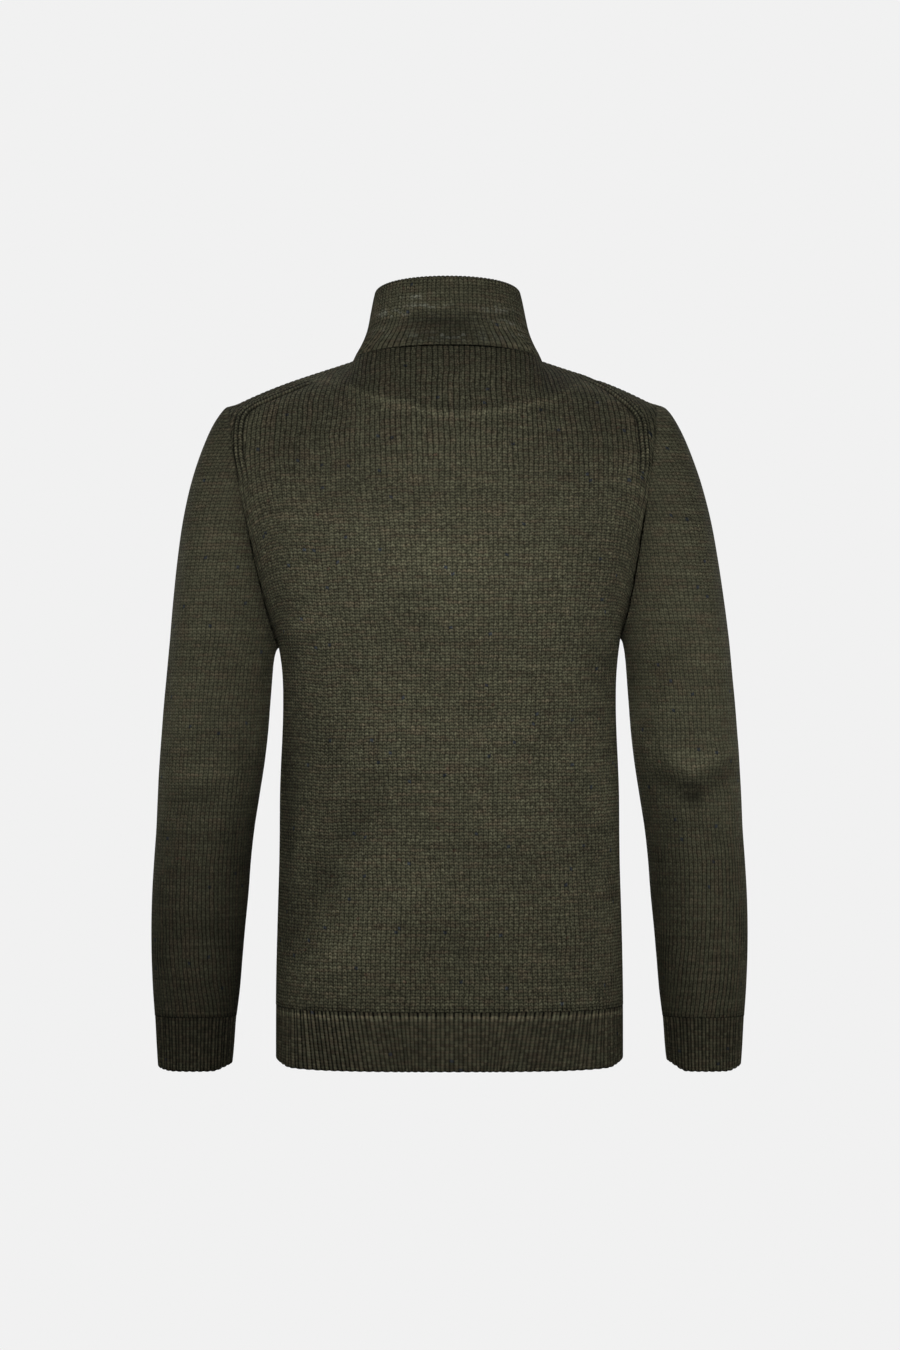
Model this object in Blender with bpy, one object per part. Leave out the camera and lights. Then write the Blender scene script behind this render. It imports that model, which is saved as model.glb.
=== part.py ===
"""A chunky knitted funnel-neck sweater, filled out as if worn, with nothing inside it.

Metres, +Z up.  The front faces -Y, the wearer's left is +X, and the origin is the middle of the
neck opening at the height where the shoulders carry the sweater.

Every piece is a wall of knit.  Its outer points are worked out from the sizes below, and its
inner points lie one thickness behind them.  Neighbouring pieces share their seam points and
seam normals, and each is then drawn back from the seam by half the seam gap.
"""
import bmesh
import bpy
import numpy as np


def table(header, *rows):
    """A small table whose columns are read by name."""
    return dict(zip(header.split(), np.array(rows, dtype=float).T))


# ---- Driving dimensions ----
KNIT_THICKNESS = 0.003
COLLAR_THICKNESS = 0.005        # knitted double, turned in at its top edge
SEAM_GAP = 0.0003
TURNING_GAP = 0.0006            # for collar and sleeves, whose seams turn fast
LEFT, RIGHT = 1, -1             # the wearer's left is +X
BACK, FRONT = 1, -1             # the back is +Y

# Grid counts: courses go up a panel, wales go across it.
BODY_COURSES = 12               # from the hem rib to the underarm
ARM_COURSES = 10                # from the underarm to the shoulder tip
SHOULDER_WALES = 7              # along one shoulder seam
NECK_WALES = 14                 # along the front or back half of the neck seam
PANEL_WALES = 2 * SHOULDER_WALES + NECK_WALES
SLEEVE_RINGS = 21               # from the armhole to the cuff
COLLAR_RINGS = 8
HEM_RINGS = 3
CUFF_RINGS = 3

# Rib bands
HEM_RIBS = 57                   # front and back each
CUFF_RIBS = 30
RIB_DEPTH = 0.0012
HEM_SEAM_HEIGHT = -0.632
HEM_EDGE_HEIGHT = -0.690

# Torso below the underarm: side half-width, depth behind and in front of the side seams,
# and how square the section is (2 is an oval).
TORSO = table(
    "height   width    back    front   square",
    (-0.690, 0.1732, 0.1120, 0.1150, 3.1),
    (-0.632, 0.1732, 0.1125, 0.1160, 2.9),
    (-0.560, 0.1720, 0.1090, 0.1170, 2.7),
    (-0.490, 0.1700, 0.1030, 0.1180, 2.6),
    (-0.410, 0.1690, 0.1000, 0.1190, 2.6),
    (-0.340, 0.1660, 0.1045, 0.1210, 2.6),
    (-0.295, 0.1664, 0.1090, 0.1230, 2.6),
    (-0.272, 0.1698, 0.1115, 0.1240, 2.6),
)
UNDERARM_HEIGHT = {LEFT: -0.277, RIGHT: -0.267}

# Shoulders: the seam from the neck point to the tip rises a little above a straight line.
TIP_X = {LEFT: 0.2140, RIGHT: 0.2088}
TIP_HEIGHT = {LEFT: -0.0362, RIGHT: -0.0343}
SHOULDER_CROWN = 0.0030
CROWN_LEAN = 1.3                # above 1, the crown lies nearer the tip than the neck

# The shoulders hang a little towards the wearer's left, and the collar less.
SWAY = table(
    "height   shift",
    (-0.270, 0.0000),
    (-0.170, 0.0022),
    (-0.080, 0.0038),
    (-0.030, 0.0038),
    (-0.005, 0.0024),
    (0.020, 0.0018),
    (0.090, 0.0020),
)

# How a body panel runs between its edges above the underarm
PANEL_FULLNESS = {BACK: 0.55, FRONT: 0.35}  # share of the edges' bulge at the panel's middle
NECK_CORNER_FADE = 4            # the corner at the neck point fades out down the panel
TOP_RELAXING = 40               # rounds that soften the neck points' corners
UNDERARM_RELAXING = 12          # rounds that soften the change of slope at the underarm
RELAXED_COURSES = 4             # above and below the underarm

# Neck seam and collar rings, from the seam (rise 0) to the top edge (rise 1).
COLLAR = table(
    "rise  side    side_z  back    back_z  front   front_z",
    (0.00, 0.0945, 0.0095, 0.0550, 0.0200, 0.0800, -0.0180),
    (0.18, 0.0868, 0.0225, 0.0580, 0.0335, 0.0785, -0.0030),
    (0.40, 0.0810, 0.0370, 0.0615, 0.0485, 0.0765, 0.0140),
    (0.65, 0.0773, 0.0545, 0.0650, 0.0640, 0.0745, 0.0325),
    (0.85, 0.0748, 0.0670, 0.0662, 0.0775, 0.0730, 0.0475),
    (1.00, 0.0725, 0.0765, 0.0655, 0.0872, 0.0715, 0.0575),
)
COLLAR_EDGE_ROUND = 0.0016      # how far the top edge is rounded off on each face
NECK_SQUARE = 2.2

# Sleeve sections from the armhole seam to the cuff's edge.  Each is an oval through an inner
# and an outer point, `depth` each way from `middle_y`, that bows outwards between the points.
SLEEVE = table(
    "inner_x  inner_z  outer_x  outer_z  middle_y  depth  bow",
    (0.1698, -0.2720, 0.2090, -0.0345, 0.000, 0.048, 0.0060),
    (0.1721, -0.2750, 0.2230, -0.0420, 0.000, 0.051, 0.0070),
    (0.1732, -0.2777, 0.2370, -0.0680, 0.000, 0.054, 0.0075),
    (0.1740, -0.2806, 0.2510, -0.1050, -0.001, 0.056, 0.0075),
    (0.1747, -0.2840, 0.2624, -0.1510, -0.001, 0.058, 0.0070),
    (0.1753, -0.2880, 0.2706, -0.2020, -0.002, 0.058, 0.0060),
    (0.1760, -0.2935, 0.2770, -0.2540, -0.003, 0.058, 0.0050),
    (0.1770, -0.3050, 0.2817, -0.2980, -0.004, 0.057, 0.0035),
    (0.1790, -0.3300, 0.2855, -0.3340, -0.005, 0.056, 0.0020),
    (0.1826, -0.3720, 0.2888, -0.3720, -0.008, 0.054, 0.0010),
    (0.1881, -0.4110, 0.2920, -0.4110, -0.012, 0.052, 0.0000),
    (0.1948, -0.4510, 0.2938, -0.4510, -0.015, 0.050, 0.0000),
    (0.1995, -0.4910, 0.2968, -0.4910, -0.018, 0.047, 0.0000),
    (0.2028, -0.5320, 0.2994, -0.5320, -0.022, 0.043, 0.0000),
    (0.2072, -0.5730, 0.3003, -0.5730, -0.026, 0.040, 0.0000),
    (0.2104, -0.6130, 0.2995, -0.6130, -0.030, 0.036, 0.0000),
    (0.2148, -0.6482, 0.2975, -0.6482, -0.034, 0.032, 0.0000),
    (0.2170, -0.6760, 0.2962, -0.6760, -0.036, 0.030, 0.0000),
    (0.2192, -0.7033, 0.2948, -0.7033, -0.038, 0.030, 0.0000),
)
SLEEVE_SQUARE = 2.2
FAN_ROWS = 8                    # the sections that fan out from the underarm
CUFF_ROWS = 2                   # the last spans of SLEEVE are the cuff's

# The largest folds: soft troughs and, with a negative depth, ridges, between two points seen
# from behind.  `face` is the face they lie on.
FOLDS = table(
    "face  from_x   from_z  to_x    to_z    width  depth",
    (BACK, 0.070, -0.405, 0.158, -0.560, 0.022, 0.0050),
    (BACK, 0.020, -0.480, -0.070, -0.470, 0.022, 0.0025),
    (BACK, -0.030, -0.350, -0.085, -0.385, 0.020, 0.0030),
    (BACK, -0.205, -0.405, -0.240, -0.425, 0.013, 0.0045),
    (BACK, -0.240, -0.425, -0.280, -0.405, 0.013, 0.0045),
    (BACK, -0.200, -0.372, -0.240, -0.394, 0.014, -0.0030),
    (BACK, 0.235, -0.428, 0.272, -0.432, 0.014, 0.0025),
    (FRONT, -0.060, -0.400, -0.150, -0.540, 0.024, 0.0045),
    (FRONT, 0.030, -0.470, 0.110, -0.440, 0.022, 0.0030),
    (FRONT, 0.205, -0.415, 0.275, -0.395, 0.014, 0.0040),
    (FRONT, -0.210, -0.400, -0.270, -0.420, 0.014, 0.0040),
)

KNIT_COLOUR = (0.060, 0.057, 0.037, 1.0)
RIB_COLOUR = (0.050, 0.047, 0.031, 1.0)
KNIT_ROUGHNESS = 0.92
SHARP_ANGLE = np.radians(50)


# ---- Curves and grids ----

def unit(vectors):
    return vectors / np.linalg.norm(vectors, axis=-1, keepdims=True)


def smooth(at, knots, values):
    """Read values between their knots along a cubic with each knot's own slope."""
    slopes = np.gradient(values, knots, axis=0)
    left = np.clip(np.searchsorted(knots, at, side="right") - 1, 0, len(knots) - 2)
    span = knots[left + 1] - knots[left]
    shape = (-1,) + (1,) * (values.ndim - 1)
    t = ((at - knots[left]) / span).reshape(shape)
    span = span.reshape(shape)
    return (
        (1 + 2 * t) * (1 - t) ** 2 * values[left]
        + t * (1 - t) ** 2 * span * slopes[left]
        + t**2 * (3 - 2 * t) * values[left + 1]
        - t**2 * (1 - t) * span * slopes[left + 1]
    )


def even(points, count):
    """The same curve through `count` points that are evenly spaced along it."""
    steps = np.linalg.norm(np.diff(points, axis=0), axis=1)
    run = np.concatenate([[0.0], np.cumsum(steps)])
    at = np.linspace(0.0, run[-1], count)
    return np.stack([np.interp(at, run, points[:, axis]) for axis in range(3)], axis=1)


def relax(points, share, rounds):
    """Move inner points towards the middle of their neighbours along the first axis."""
    relaxed = points.copy()
    for _ in range(rounds):
        middle = (relaxed[:-2] + relaxed[2:]) / 2
        relaxed[1:-1] += share * (middle - relaxed[1:-1])
    return relaxed


def half_oval(start, end, bulge, square, count):
    """From start to end, bowing out by the vector `bulge` along a squared half oval."""
    angle = np.linspace(0.0, np.pi, 241)
    across = (1 - np.sign(np.cos(angle)) * abs(np.cos(angle)) ** (2 / square)) / 2
    bow = abs(np.sin(angle)) ** (2 / square)
    start, end, bulge = np.array([start, end, bulge])
    return even(start + np.outer(across, end - start) + np.outer(bow, bulge), count)


# ---- The body: one panel behind and one in front ----

def torso_course(face, height):
    """One level course below the underarm, from the right side seam to the left one."""
    width, depth, square = (
        smooth(np.array([height]), TORSO["height"], TORSO[name])[0]
        for name in ("width", "back" if face == BACK else "front", "square")
    )
    return half_oval(
        (-width, 0, height), (width, 0, height), (0, face * depth, 0), square, PANEL_WALES + 1
    )


def underarm_course(face):
    """The course at the underarm, a little higher on the right than on the left."""
    course = torso_course(face, TORSO["height"][-1])
    lift = (course[:, 0] / TORSO["width"][-1] + 1) / 2
    course[:, 2] = UNDERARM_HEIGHT[RIGHT] + lift * (UNDERARM_HEIGHT[LEFT] - UNDERARM_HEIGHT[RIGHT])
    return course


def armhole_edge(side, face):
    """Half of the armhole seam, from the underarm to the shoulder tip."""
    underarm = (side * TORSO["width"][-1], 0, UNDERARM_HEIGHT[side])
    tip = (side * TIP_X[side], 0, TIP_HEIGHT[side])
    bulge = (side * SLEEVE["bow"][0], face * SLEEVE["depth"][0], 0)
    return half_oval(underarm, tip, bulge, SLEEVE_SQUARE, ARM_COURSES + 1)


def collar_ring(face, rise):
    """The front or back half of a ring round the neck, from the right side to the left one."""
    name = "back" if face == BACK else "front"
    side, side_z, depth, middle_z = (
        smooth(np.array([rise]), COLLAR["rise"], COLLAR[column])[0]
        for column in ("side", "side_z", name, name + "_z")
    )
    bulge = (0, face * depth, middle_z - side_z)
    return half_oval((-side, 0, side_z), (side, 0, side_z), bulge, NECK_SQUARE, NECK_WALES + 1)


def shoulder_seam(side):
    """From the neck point to the shoulder tip."""
    t = np.linspace(0.0, 1.0, SHOULDER_WALES + 1)[:, None]
    neck = np.array([side * COLLAR["side"][0], 0, COLLAR["side_z"][0]])
    tip = np.array([side * TIP_X[side], 0, TIP_HEIGHT[side]])
    return neck + t * (tip - neck) + np.sin(np.pi * t**CROWN_LEAN) * [0, 0, SHOULDER_CROWN]


def panel(face):
    """A body panel's outer points, courses by wales, from the hem rib to shoulders and neck.

    Above the underarm it is a patch between the underarm course, the two armhole edges and
    the shoulders and neck seam.  What the edges bulge beyond their straight chords is carried
    across the patch, a share of it to the middle.  Both the corners at the neck points and the
    change of slope at the underarm are relaxed.
    """
    heights = np.linspace(HEM_SEAM_HEIGHT, TORSO["height"][-1], BODY_COURSES + 1)
    below = [torso_course(face, height) for height in heights[:-1]]

    bottom = underarm_course(face)
    top = np.concatenate(
        [shoulder_seam(RIGHT)[:0:-1], collar_ring(face, 0.0), shoulder_seam(LEFT)[1:]]
    )
    up = np.linspace(0.0, 1.0, ARM_COURSES + 1)[:, None, None]
    across = np.linspace(0.0, 1.0, PANEL_WALES + 1)[None, :, None]
    carried = 0.0
    for side, share in ((RIGHT, 1 - across), (LEFT, across)):
        edge = armhole_edge(side, face)[:, None]
        carried = carried + share * (edge - edge[:1] - up * (edge[-1:] - edge[:1]))
    in_from_edge = 4 * across * (1 - across)
    fullness = 1 - (1 - PANEL_FULLNESS[face]) * in_from_edge
    soft_top = relax(top, 0.5, TOP_RELAXING)
    sharp_top = up**NECK_CORNER_FADE * (top - soft_top)
    above = (1 - up) * bottom + up * soft_top + sharp_top + fullness * carried

    whole = np.concatenate([below, above])
    from_underarm = abs(np.arange(len(whole)) - BODY_COURSES) / (RELAXED_COURSES + 1)
    near_underarm = np.clip(1 - from_underarm, 0, 1)[1:-1, None, None]
    return relax(whole, 0.5 * near_underarm * in_from_edge, UNDERARM_RELAXING)


# ---- Sleeves, cuffs and collar ----

def sleeve_sections(side, at):
    """Sections of a sleeve at fractional rows of SLEEVE, set to its own underarm's height."""
    rows = np.arange(len(SLEEVE["depth"]), dtype=float)
    inner_x, inner_z, outer_x, outer_z, middle_y, depth, bow = (
        smooth(at, rows, column) for column in SLEEVE.values()
    )
    own_underarm = UNDERARM_HEIGHT[side] - TORSO["height"][-1]
    inner_z = inner_z + own_underarm * np.clip(1 - at / FAN_ROWS, 0, 1)
    return zip(inner_x, inner_z, outer_x, outer_z, middle_y, depth, bow)


def sleeve_ring(side, section, count):
    """A closed ring of 2 * count points, from a section's inner point round the back to its
    outer point and round the front again."""
    inner_x, inner_z, outer_x, outer_z, middle_y, depth, bow = section
    inner = (side * inner_x, middle_y, inner_z)
    outer = (side * outer_x, middle_y, outer_z)
    behind, before = (
        half_oval(inner, outer, (side * bow, face * depth, 0), SLEEVE_SQUARE, count + 1)
        for face in (BACK, FRONT)
    )
    return np.concatenate([behind[:-1], before[:0:-1]])


def sleeve(side):
    """A sleeve's outer points: its first ring is the armhole seam."""
    last = len(SLEEVE["depth"]) - 1 - CUFF_ROWS
    at = np.linspace(0.0, last, SLEEVE_RINGS)[1:]
    rings = [sleeve_ring(side, section, ARM_COURSES) for section in sleeve_sections(side, at)]
    behind, before = (armhole_edge(side, face) for face in (BACK, FRONT))
    return np.concatenate([[np.concatenate([behind[:-1], before[:0:-1]])], rings])


def cuff(side):
    """A cuff's rings, with a point on each rib's crest and each valley."""
    last = len(SLEEVE["depth"]) - 1
    at = np.linspace(last - CUFF_ROWS, last, CUFF_RINGS)
    return np.array([sleeve_ring(side, section, CUFF_RIBS) for section in sleeve_sections(side, at)])


def collar():
    """The collar's rings from the neck seam up, each round the back and then the front."""
    return np.array([
        np.concatenate([collar_ring(BACK, rise)[:-1], collar_ring(FRONT, rise)[:0:-1]])
        for rise in np.linspace(0.0, 1.0, COLLAR_RINGS)
    ])


def hem(face):
    """Half of the hem's rib, with a point on each rib's crest and each valley."""
    heights = np.linspace(HEM_EDGE_HEIGHT, HEM_SEAM_HEIGHT, HEM_RINGS)
    return np.array([even(torso_course(face, height), 2 * HEM_RIBS + 1) for height in heights])


# ---- Walls ----

def sway(points):
    """Shift the shoulders and neck a little to the left, and leave the body below them."""
    heights = np.clip(points[..., 2], SWAY["height"][0], SWAY["height"][-1])
    moved = points.copy()
    shift = smooth(heights.ravel(), SWAY["height"], SWAY["shift"])
    moved[..., 0] += shift.reshape(heights.shape)
    return moved


def closed_grid(points, closed):
    """A closed ring's first column again after its last."""
    return np.concatenate([points, points[:, :1]], axis=1) if closed else points


def seam_normals(pieces):
    """Outward normals at every point, averaged over all the faces that meet there, on
    whichever side of a seam they lie.  Large and small faces count alike, so that in the fold
    under an arm the normal lies midway between body and sleeve."""
    stacked = np.concatenate([piece["points"].reshape(-1, 3) for piece in pieces])
    same = np.unique(np.round(stacked, 6), axis=0, return_inverse=True)[1].ravel()
    total = np.zeros((same.max() + 1, 3))
    start = 0
    for piece in pieces:
        rows, columns = piece["points"].shape[:2]
        index = same[start:start + rows * columns].reshape(rows, columns, 1)
        index = closed_grid(index, piece["closed"])[..., 0]
        grid = closed_grid(piece["points"], piece["closed"])
        facing = unit(np.cross(grid[1:, 1:] - grid[:-1, :-1], grid[1:, :-1] - grid[:-1, 1:]))
        for corner in (index[1:, 1:], index[:-1, :-1], index[1:, :-1], index[:-1, 1:]):
            np.add.at(total, corner, facing * piece["turn"])
        start += rows * columns
    start = 0
    for piece in pieces:
        rows, columns = piece["points"].shape[:2]
        piece["normals"] = unit(total[same[start:start + rows * columns]]).reshape(rows, columns, 3)
        for row in piece["level_rows"]:
            piece["normals"][row, :, 2] = 0
        piece["normals"] = unit(piece["normals"])
        start += rows * columns


def fold(piece):
    """Press the largest folds into a piece."""
    points, normals = piece["points"], piece["normals"]
    flat = points[..., [0, 2]]
    pressed = np.zeros(points.shape[:2])
    for face, x0, z0, x1, z1, width, depth in zip(*FOLDS.values()):
        start, run = np.array([x0, z0]), np.array([x1 - x0, z1 - z0])
        along = np.clip((flat - start) @ run / (run @ run), 0, 1)[..., None]
        distance = np.linalg.norm(flat - start - along * run, axis=-1)
        facing = np.clip(face * normals[..., 1], 0, 1)
        pressed += facing * depth * np.exp(-((distance / width) ** 2))
    return points - normals * pressed[..., None]


def draw_back(surface, points, normals, closed, gap):
    """Draw the edges of a surface back from their seams by half the gap."""
    drawn = surface.copy()
    directions = [(drawn, points, normals)]
    if not closed:
        directions.append(tuple(grid.swapaxes(0, 1) for grid in directions[0]))
    for moved, at, facing in directions:
        for edge, inside in ((0, 1), (-1, -2)):
            tangent = np.gradient(at[edge], axis=0)
            if closed:
                tangent = np.roll(at[edge], -1, axis=0) - np.roll(at[edge], 1, axis=0)
            away = unit(np.cross(tangent, facing[edge]))
            towards = np.sum(away * (at[inside] - at[edge]))
            moved[edge] += away * np.sign(towards) * gap / 2
    return drawn


def skin(mesh, outer, inner, closed):
    """Faces over the outer and inner points, and round all the edges between the two."""
    rows, columns = len(outer), len(outer[0])
    wales = [(i, (i + 1) % columns) for i in range(columns if closed else columns - 1)]
    for low, high in zip(range(rows - 1), range(1, rows)):
        for a, b in wales:
            mesh.faces.new([outer[low][a], outer[low][b], outer[high][b], outer[high][a]])
            mesh.faces.new([inner[low][a], inner[high][a], inner[high][b], inner[low][b]])
        for side in () if closed else (0, -1):
            mesh.faces.new([
                outer[low][side], outer[high][side], inner[high][side], inner[low][side],
            ])
    for row in (0, -1):
        for a, b in wales:
            mesh.faces.new([outer[row][a], outer[row][b], inner[row][b], inner[row][a]])


def wall(piece, material, collection):
    """Close a piece's outer points and the inner points behind them into one solid."""
    points, normals, closed = piece["points"], piece["normals"], piece["closed"]
    thickness = np.broadcast_to(piece["thickness"], points.shape[:2])[..., None]
    relief = np.broadcast_to(piece["relief"], points.shape[:2])[..., None]
    mesh = bmesh.new()
    outer, inner = (
        [[mesh.verts.new(point) for point in row]
         for row in draw_back(surface, points, normals, closed, piece["gap"])]
        for surface in (points + normals * relief, points - normals * thickness)
    )
    skin(mesh, outer, inner, closed)
    bmesh.ops.recalc_face_normals(mesh, faces=mesh.faces)
    bmesh.ops.triangulate(mesh, faces=mesh.faces)
    data = bpy.data.meshes.new(piece["name"])
    mesh.to_mesh(data)
    mesh.free()
    data.shade_smooth()
    data.set_sharp_from_angle(angle=SHARP_ANGLE)
    data.materials.append(material)
    collection.objects.link(bpy.data.objects.new(piece["name"], data))


def cut_piece(
    name, points, turn, closed=False,
    thickness=KNIT_THICKNESS, relief=0.0, level_rows=(), gap=SEAM_GAP,
):
    """A piece to be sewn.  `turn` is 1 where columns by rows face outwards and -1 where they
    face inwards, and the normals of its level rows are kept level."""
    return {
        "name": name, "points": sway(points), "turn": turn, "closed": closed,
        "thickness": thickness, "relief": relief, "level_rows": level_rows, "gap": gap,
    }


def ribs(columns):
    """How far each column stands out: crests stay, and the valleys between are pressed in."""
    return -RIB_DEPTH * (1 - np.arange(columns) % 2)


def knit_material(name, colour):
    material = bpy.data.materials.new(name)
    material.use_nodes = True
    shader = material.node_tree.nodes["Principled BSDF"]
    shader.inputs["Base Color"].default_value = colour
    shader.inputs["Roughness"].default_value = KNIT_ROUGHNESS
    shader.inputs["Metallic"].default_value = 0.0
    return material


def build():
    for old in list(bpy.data.objects):
        bpy.data.objects.remove(old, do_unlink=True)
    collection = bpy.data.collections.new("funnel_neck_sweater")
    bpy.context.scene.collection.children.link(collection)

    collar_rounding = np.zeros((COLLAR_RINGS, 1))
    collar_rounding[-1] = COLLAR_EDGE_ROUND
    hem_ribs = ribs(2 * HEM_RIBS + 1)
    cuff_ribs = ribs(2 * CUFF_RIBS)
    bands = range(HEM_RINGS)
    pieces = [
        cut_piece("back", panel(BACK), -1, level_rows=[0]),
        cut_piece("front", panel(FRONT), 1, level_rows=[0]),
        cut_piece("sleeve_left", sleeve(LEFT), 1, True, level_rows=[-1], gap=TURNING_GAP),
        cut_piece("sleeve_right", sleeve(RIGHT), -1, True, level_rows=[-1], gap=TURNING_GAP),
        cut_piece(
            "collar", collar(), -1, True,
            thickness=COLLAR_THICKNESS - collar_rounding, relief=-collar_rounding,
            gap=TURNING_GAP,
        ),
        cut_piece("hem_back", hem(BACK), -1, relief=hem_ribs, level_rows=bands),
        cut_piece("hem_front", hem(FRONT), 1, relief=hem_ribs, level_rows=bands),
        cut_piece("cuff_left", cuff(LEFT), 1, True, relief=cuff_ribs, level_rows=bands),
        cut_piece("cuff_right", cuff(RIGHT), -1, True, relief=cuff_ribs, level_rows=bands),
    ]
    seam_normals(pieces)
    for piece in pieces:
        piece["points"] = fold(piece)
        colour = RIB_COLOUR if piece["name"].startswith(("hem", "cuff")) else KNIT_COLOUR
        wall(piece, knit_material(piece["name"] + "_knit", colour), collection)


build()
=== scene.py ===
"""The looks of a chunky funnel-neck sweater in dark olive heather wool, hollow and worn.

Metres, +Z up.  The front faces -Y, the wearer's left is +X, and the origin is the middle of the
neck opening at the height where the shoulders carry the sweater.  Each knitted piece is a wall
on the form of its own solid, with its wales or ribs raised in the wall and its stitches in the
finish.  Stitch coordinates count wales across a piece and courses up it.
"""

import bpy
import numpy as np
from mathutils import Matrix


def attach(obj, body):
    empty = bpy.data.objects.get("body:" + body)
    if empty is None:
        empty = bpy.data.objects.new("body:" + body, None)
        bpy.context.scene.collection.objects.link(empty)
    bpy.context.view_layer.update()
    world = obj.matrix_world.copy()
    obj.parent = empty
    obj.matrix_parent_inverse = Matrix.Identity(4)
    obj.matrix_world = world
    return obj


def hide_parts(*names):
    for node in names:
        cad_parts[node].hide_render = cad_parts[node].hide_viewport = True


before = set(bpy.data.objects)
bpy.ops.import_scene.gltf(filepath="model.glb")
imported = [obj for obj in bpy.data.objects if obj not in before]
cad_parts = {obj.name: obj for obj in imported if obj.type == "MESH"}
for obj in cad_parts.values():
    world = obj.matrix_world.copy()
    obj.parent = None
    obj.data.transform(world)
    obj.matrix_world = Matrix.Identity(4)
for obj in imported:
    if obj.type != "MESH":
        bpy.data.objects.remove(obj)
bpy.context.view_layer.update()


# ==== The body: a back and a front panel ====
# Two panels of chunky stockinette, knitted to shape in one heather yarn and linked together at
# the sides and shoulders.  A band of two raised wales follows each armhole and shoulder.

LEFT, RIGHT = 1, -1             # the wearer's left is +X
BACK, FRONT = 1, -1             # the back is +Y
KNIT_THICKNESS = 0.003

BODY_COURSES = 12               # coarse rows, from the hem rib to the underarm
ARM_COURSES = 10                # coarse rows, from the underarm to the shoulder tip
SHOULDER_WALES = 7              # coarse columns along one shoulder seam
NECK_WALES = 14                 # coarse columns along the front or back half of the neck seam
PANEL_WALES = 2 * SHOULDER_WALES + NECK_WALES
PANEL_COURSES = BODY_COURSES + ARM_COURSES

HEM_SEAM_HEIGHT = -0.632
UNDERARM_HEIGHT = {LEFT: -0.277, RIGHT: -0.267}
TIP_X = {LEFT: 0.2140, RIGHT: 0.2088}
TIP_HEIGHT = {LEFT: -0.0362, RIGHT: -0.0343}
SHOULDER_CROWN = 0.0030
CROWN_LEAN = 1.3                # above 1, the crown lies nearer the tip than the neck
ARMHOLE_DEPTH = 0.048
ARMHOLE_BOW = 0.0060
ARMHOLE_SQUARE = 2.2
NECK_SQUARE = 2.2
PANEL_FULLNESS = {BACK: 0.55, FRONT: 0.35}  # share of the edges' bulge at the panel's middle
NECK_CORNER_FADE = 4            # the corner at the neck point fades out down the panel
TOP_RELAXING = 40
UNDERARM_RELAXING = 12
RELAXED_COURSES = 4             # above and below the underarm
SEAM_REACH = 0.45               # of a coarse cell, over which a grid is fitted to its seams
OVAL_POINTS = 481               # points of a half oval before they are evened out
CURVE_POINTS = 2001             # points of a curve that is read at shares of its length


def table(header, *rows):
    """A small table whose columns are read by name."""
    return dict(zip(header.split(), np.array(rows, dtype=float).T))


TORSO = table(
    "height   width    back    front   square",
    (-0.690, 0.1732, 0.1120, 0.1150, 3.1),
    (-0.632, 0.1732, 0.1125, 0.1160, 2.9),
    (-0.560, 0.1720, 0.1090, 0.1170, 2.7),
    (-0.490, 0.1700, 0.1030, 0.1180, 2.6),
    (-0.410, 0.1690, 0.1000, 0.1190, 2.6),
    (-0.340, 0.1660, 0.1045, 0.1210, 2.6),
    (-0.295, 0.1664, 0.1090, 0.1230, 2.6),
    (-0.272, 0.1698, 0.1115, 0.1240, 2.6),
)
# The shoulders hang a little towards the wearer's left, and the collar less.
SWAY = table(
    "height   shift",
    (-0.270, 0.0000),
    (-0.170, 0.0022),
    (-0.080, 0.0038),
    (-0.030, 0.0038),
    (-0.005, 0.0024),
    (0.020, 0.0018),
    (0.090, 0.0020),
)
# The collar's rings, from the neck seam (rise 0) to its top edge (rise 1)
COLLAR = table(
    "rise  side    side_z  back    back_z  front   front_z",
    (0.00, 0.0945, 0.0095, 0.0550, 0.0200, 0.0800, -0.0180),
    (0.18, 0.0868, 0.0225, 0.0580, 0.0335, 0.0785, -0.0030),
    (0.40, 0.0810, 0.0370, 0.0615, 0.0485, 0.0765, 0.0140),
    (0.65, 0.0773, 0.0545, 0.0650, 0.0640, 0.0745, 0.0325),
    (0.85, 0.0748, 0.0670, 0.0662, 0.0775, 0.0730, 0.0475),
    (1.00, 0.0725, 0.0765, 0.0655, 0.0872, 0.0715, 0.0575),
)
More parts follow.
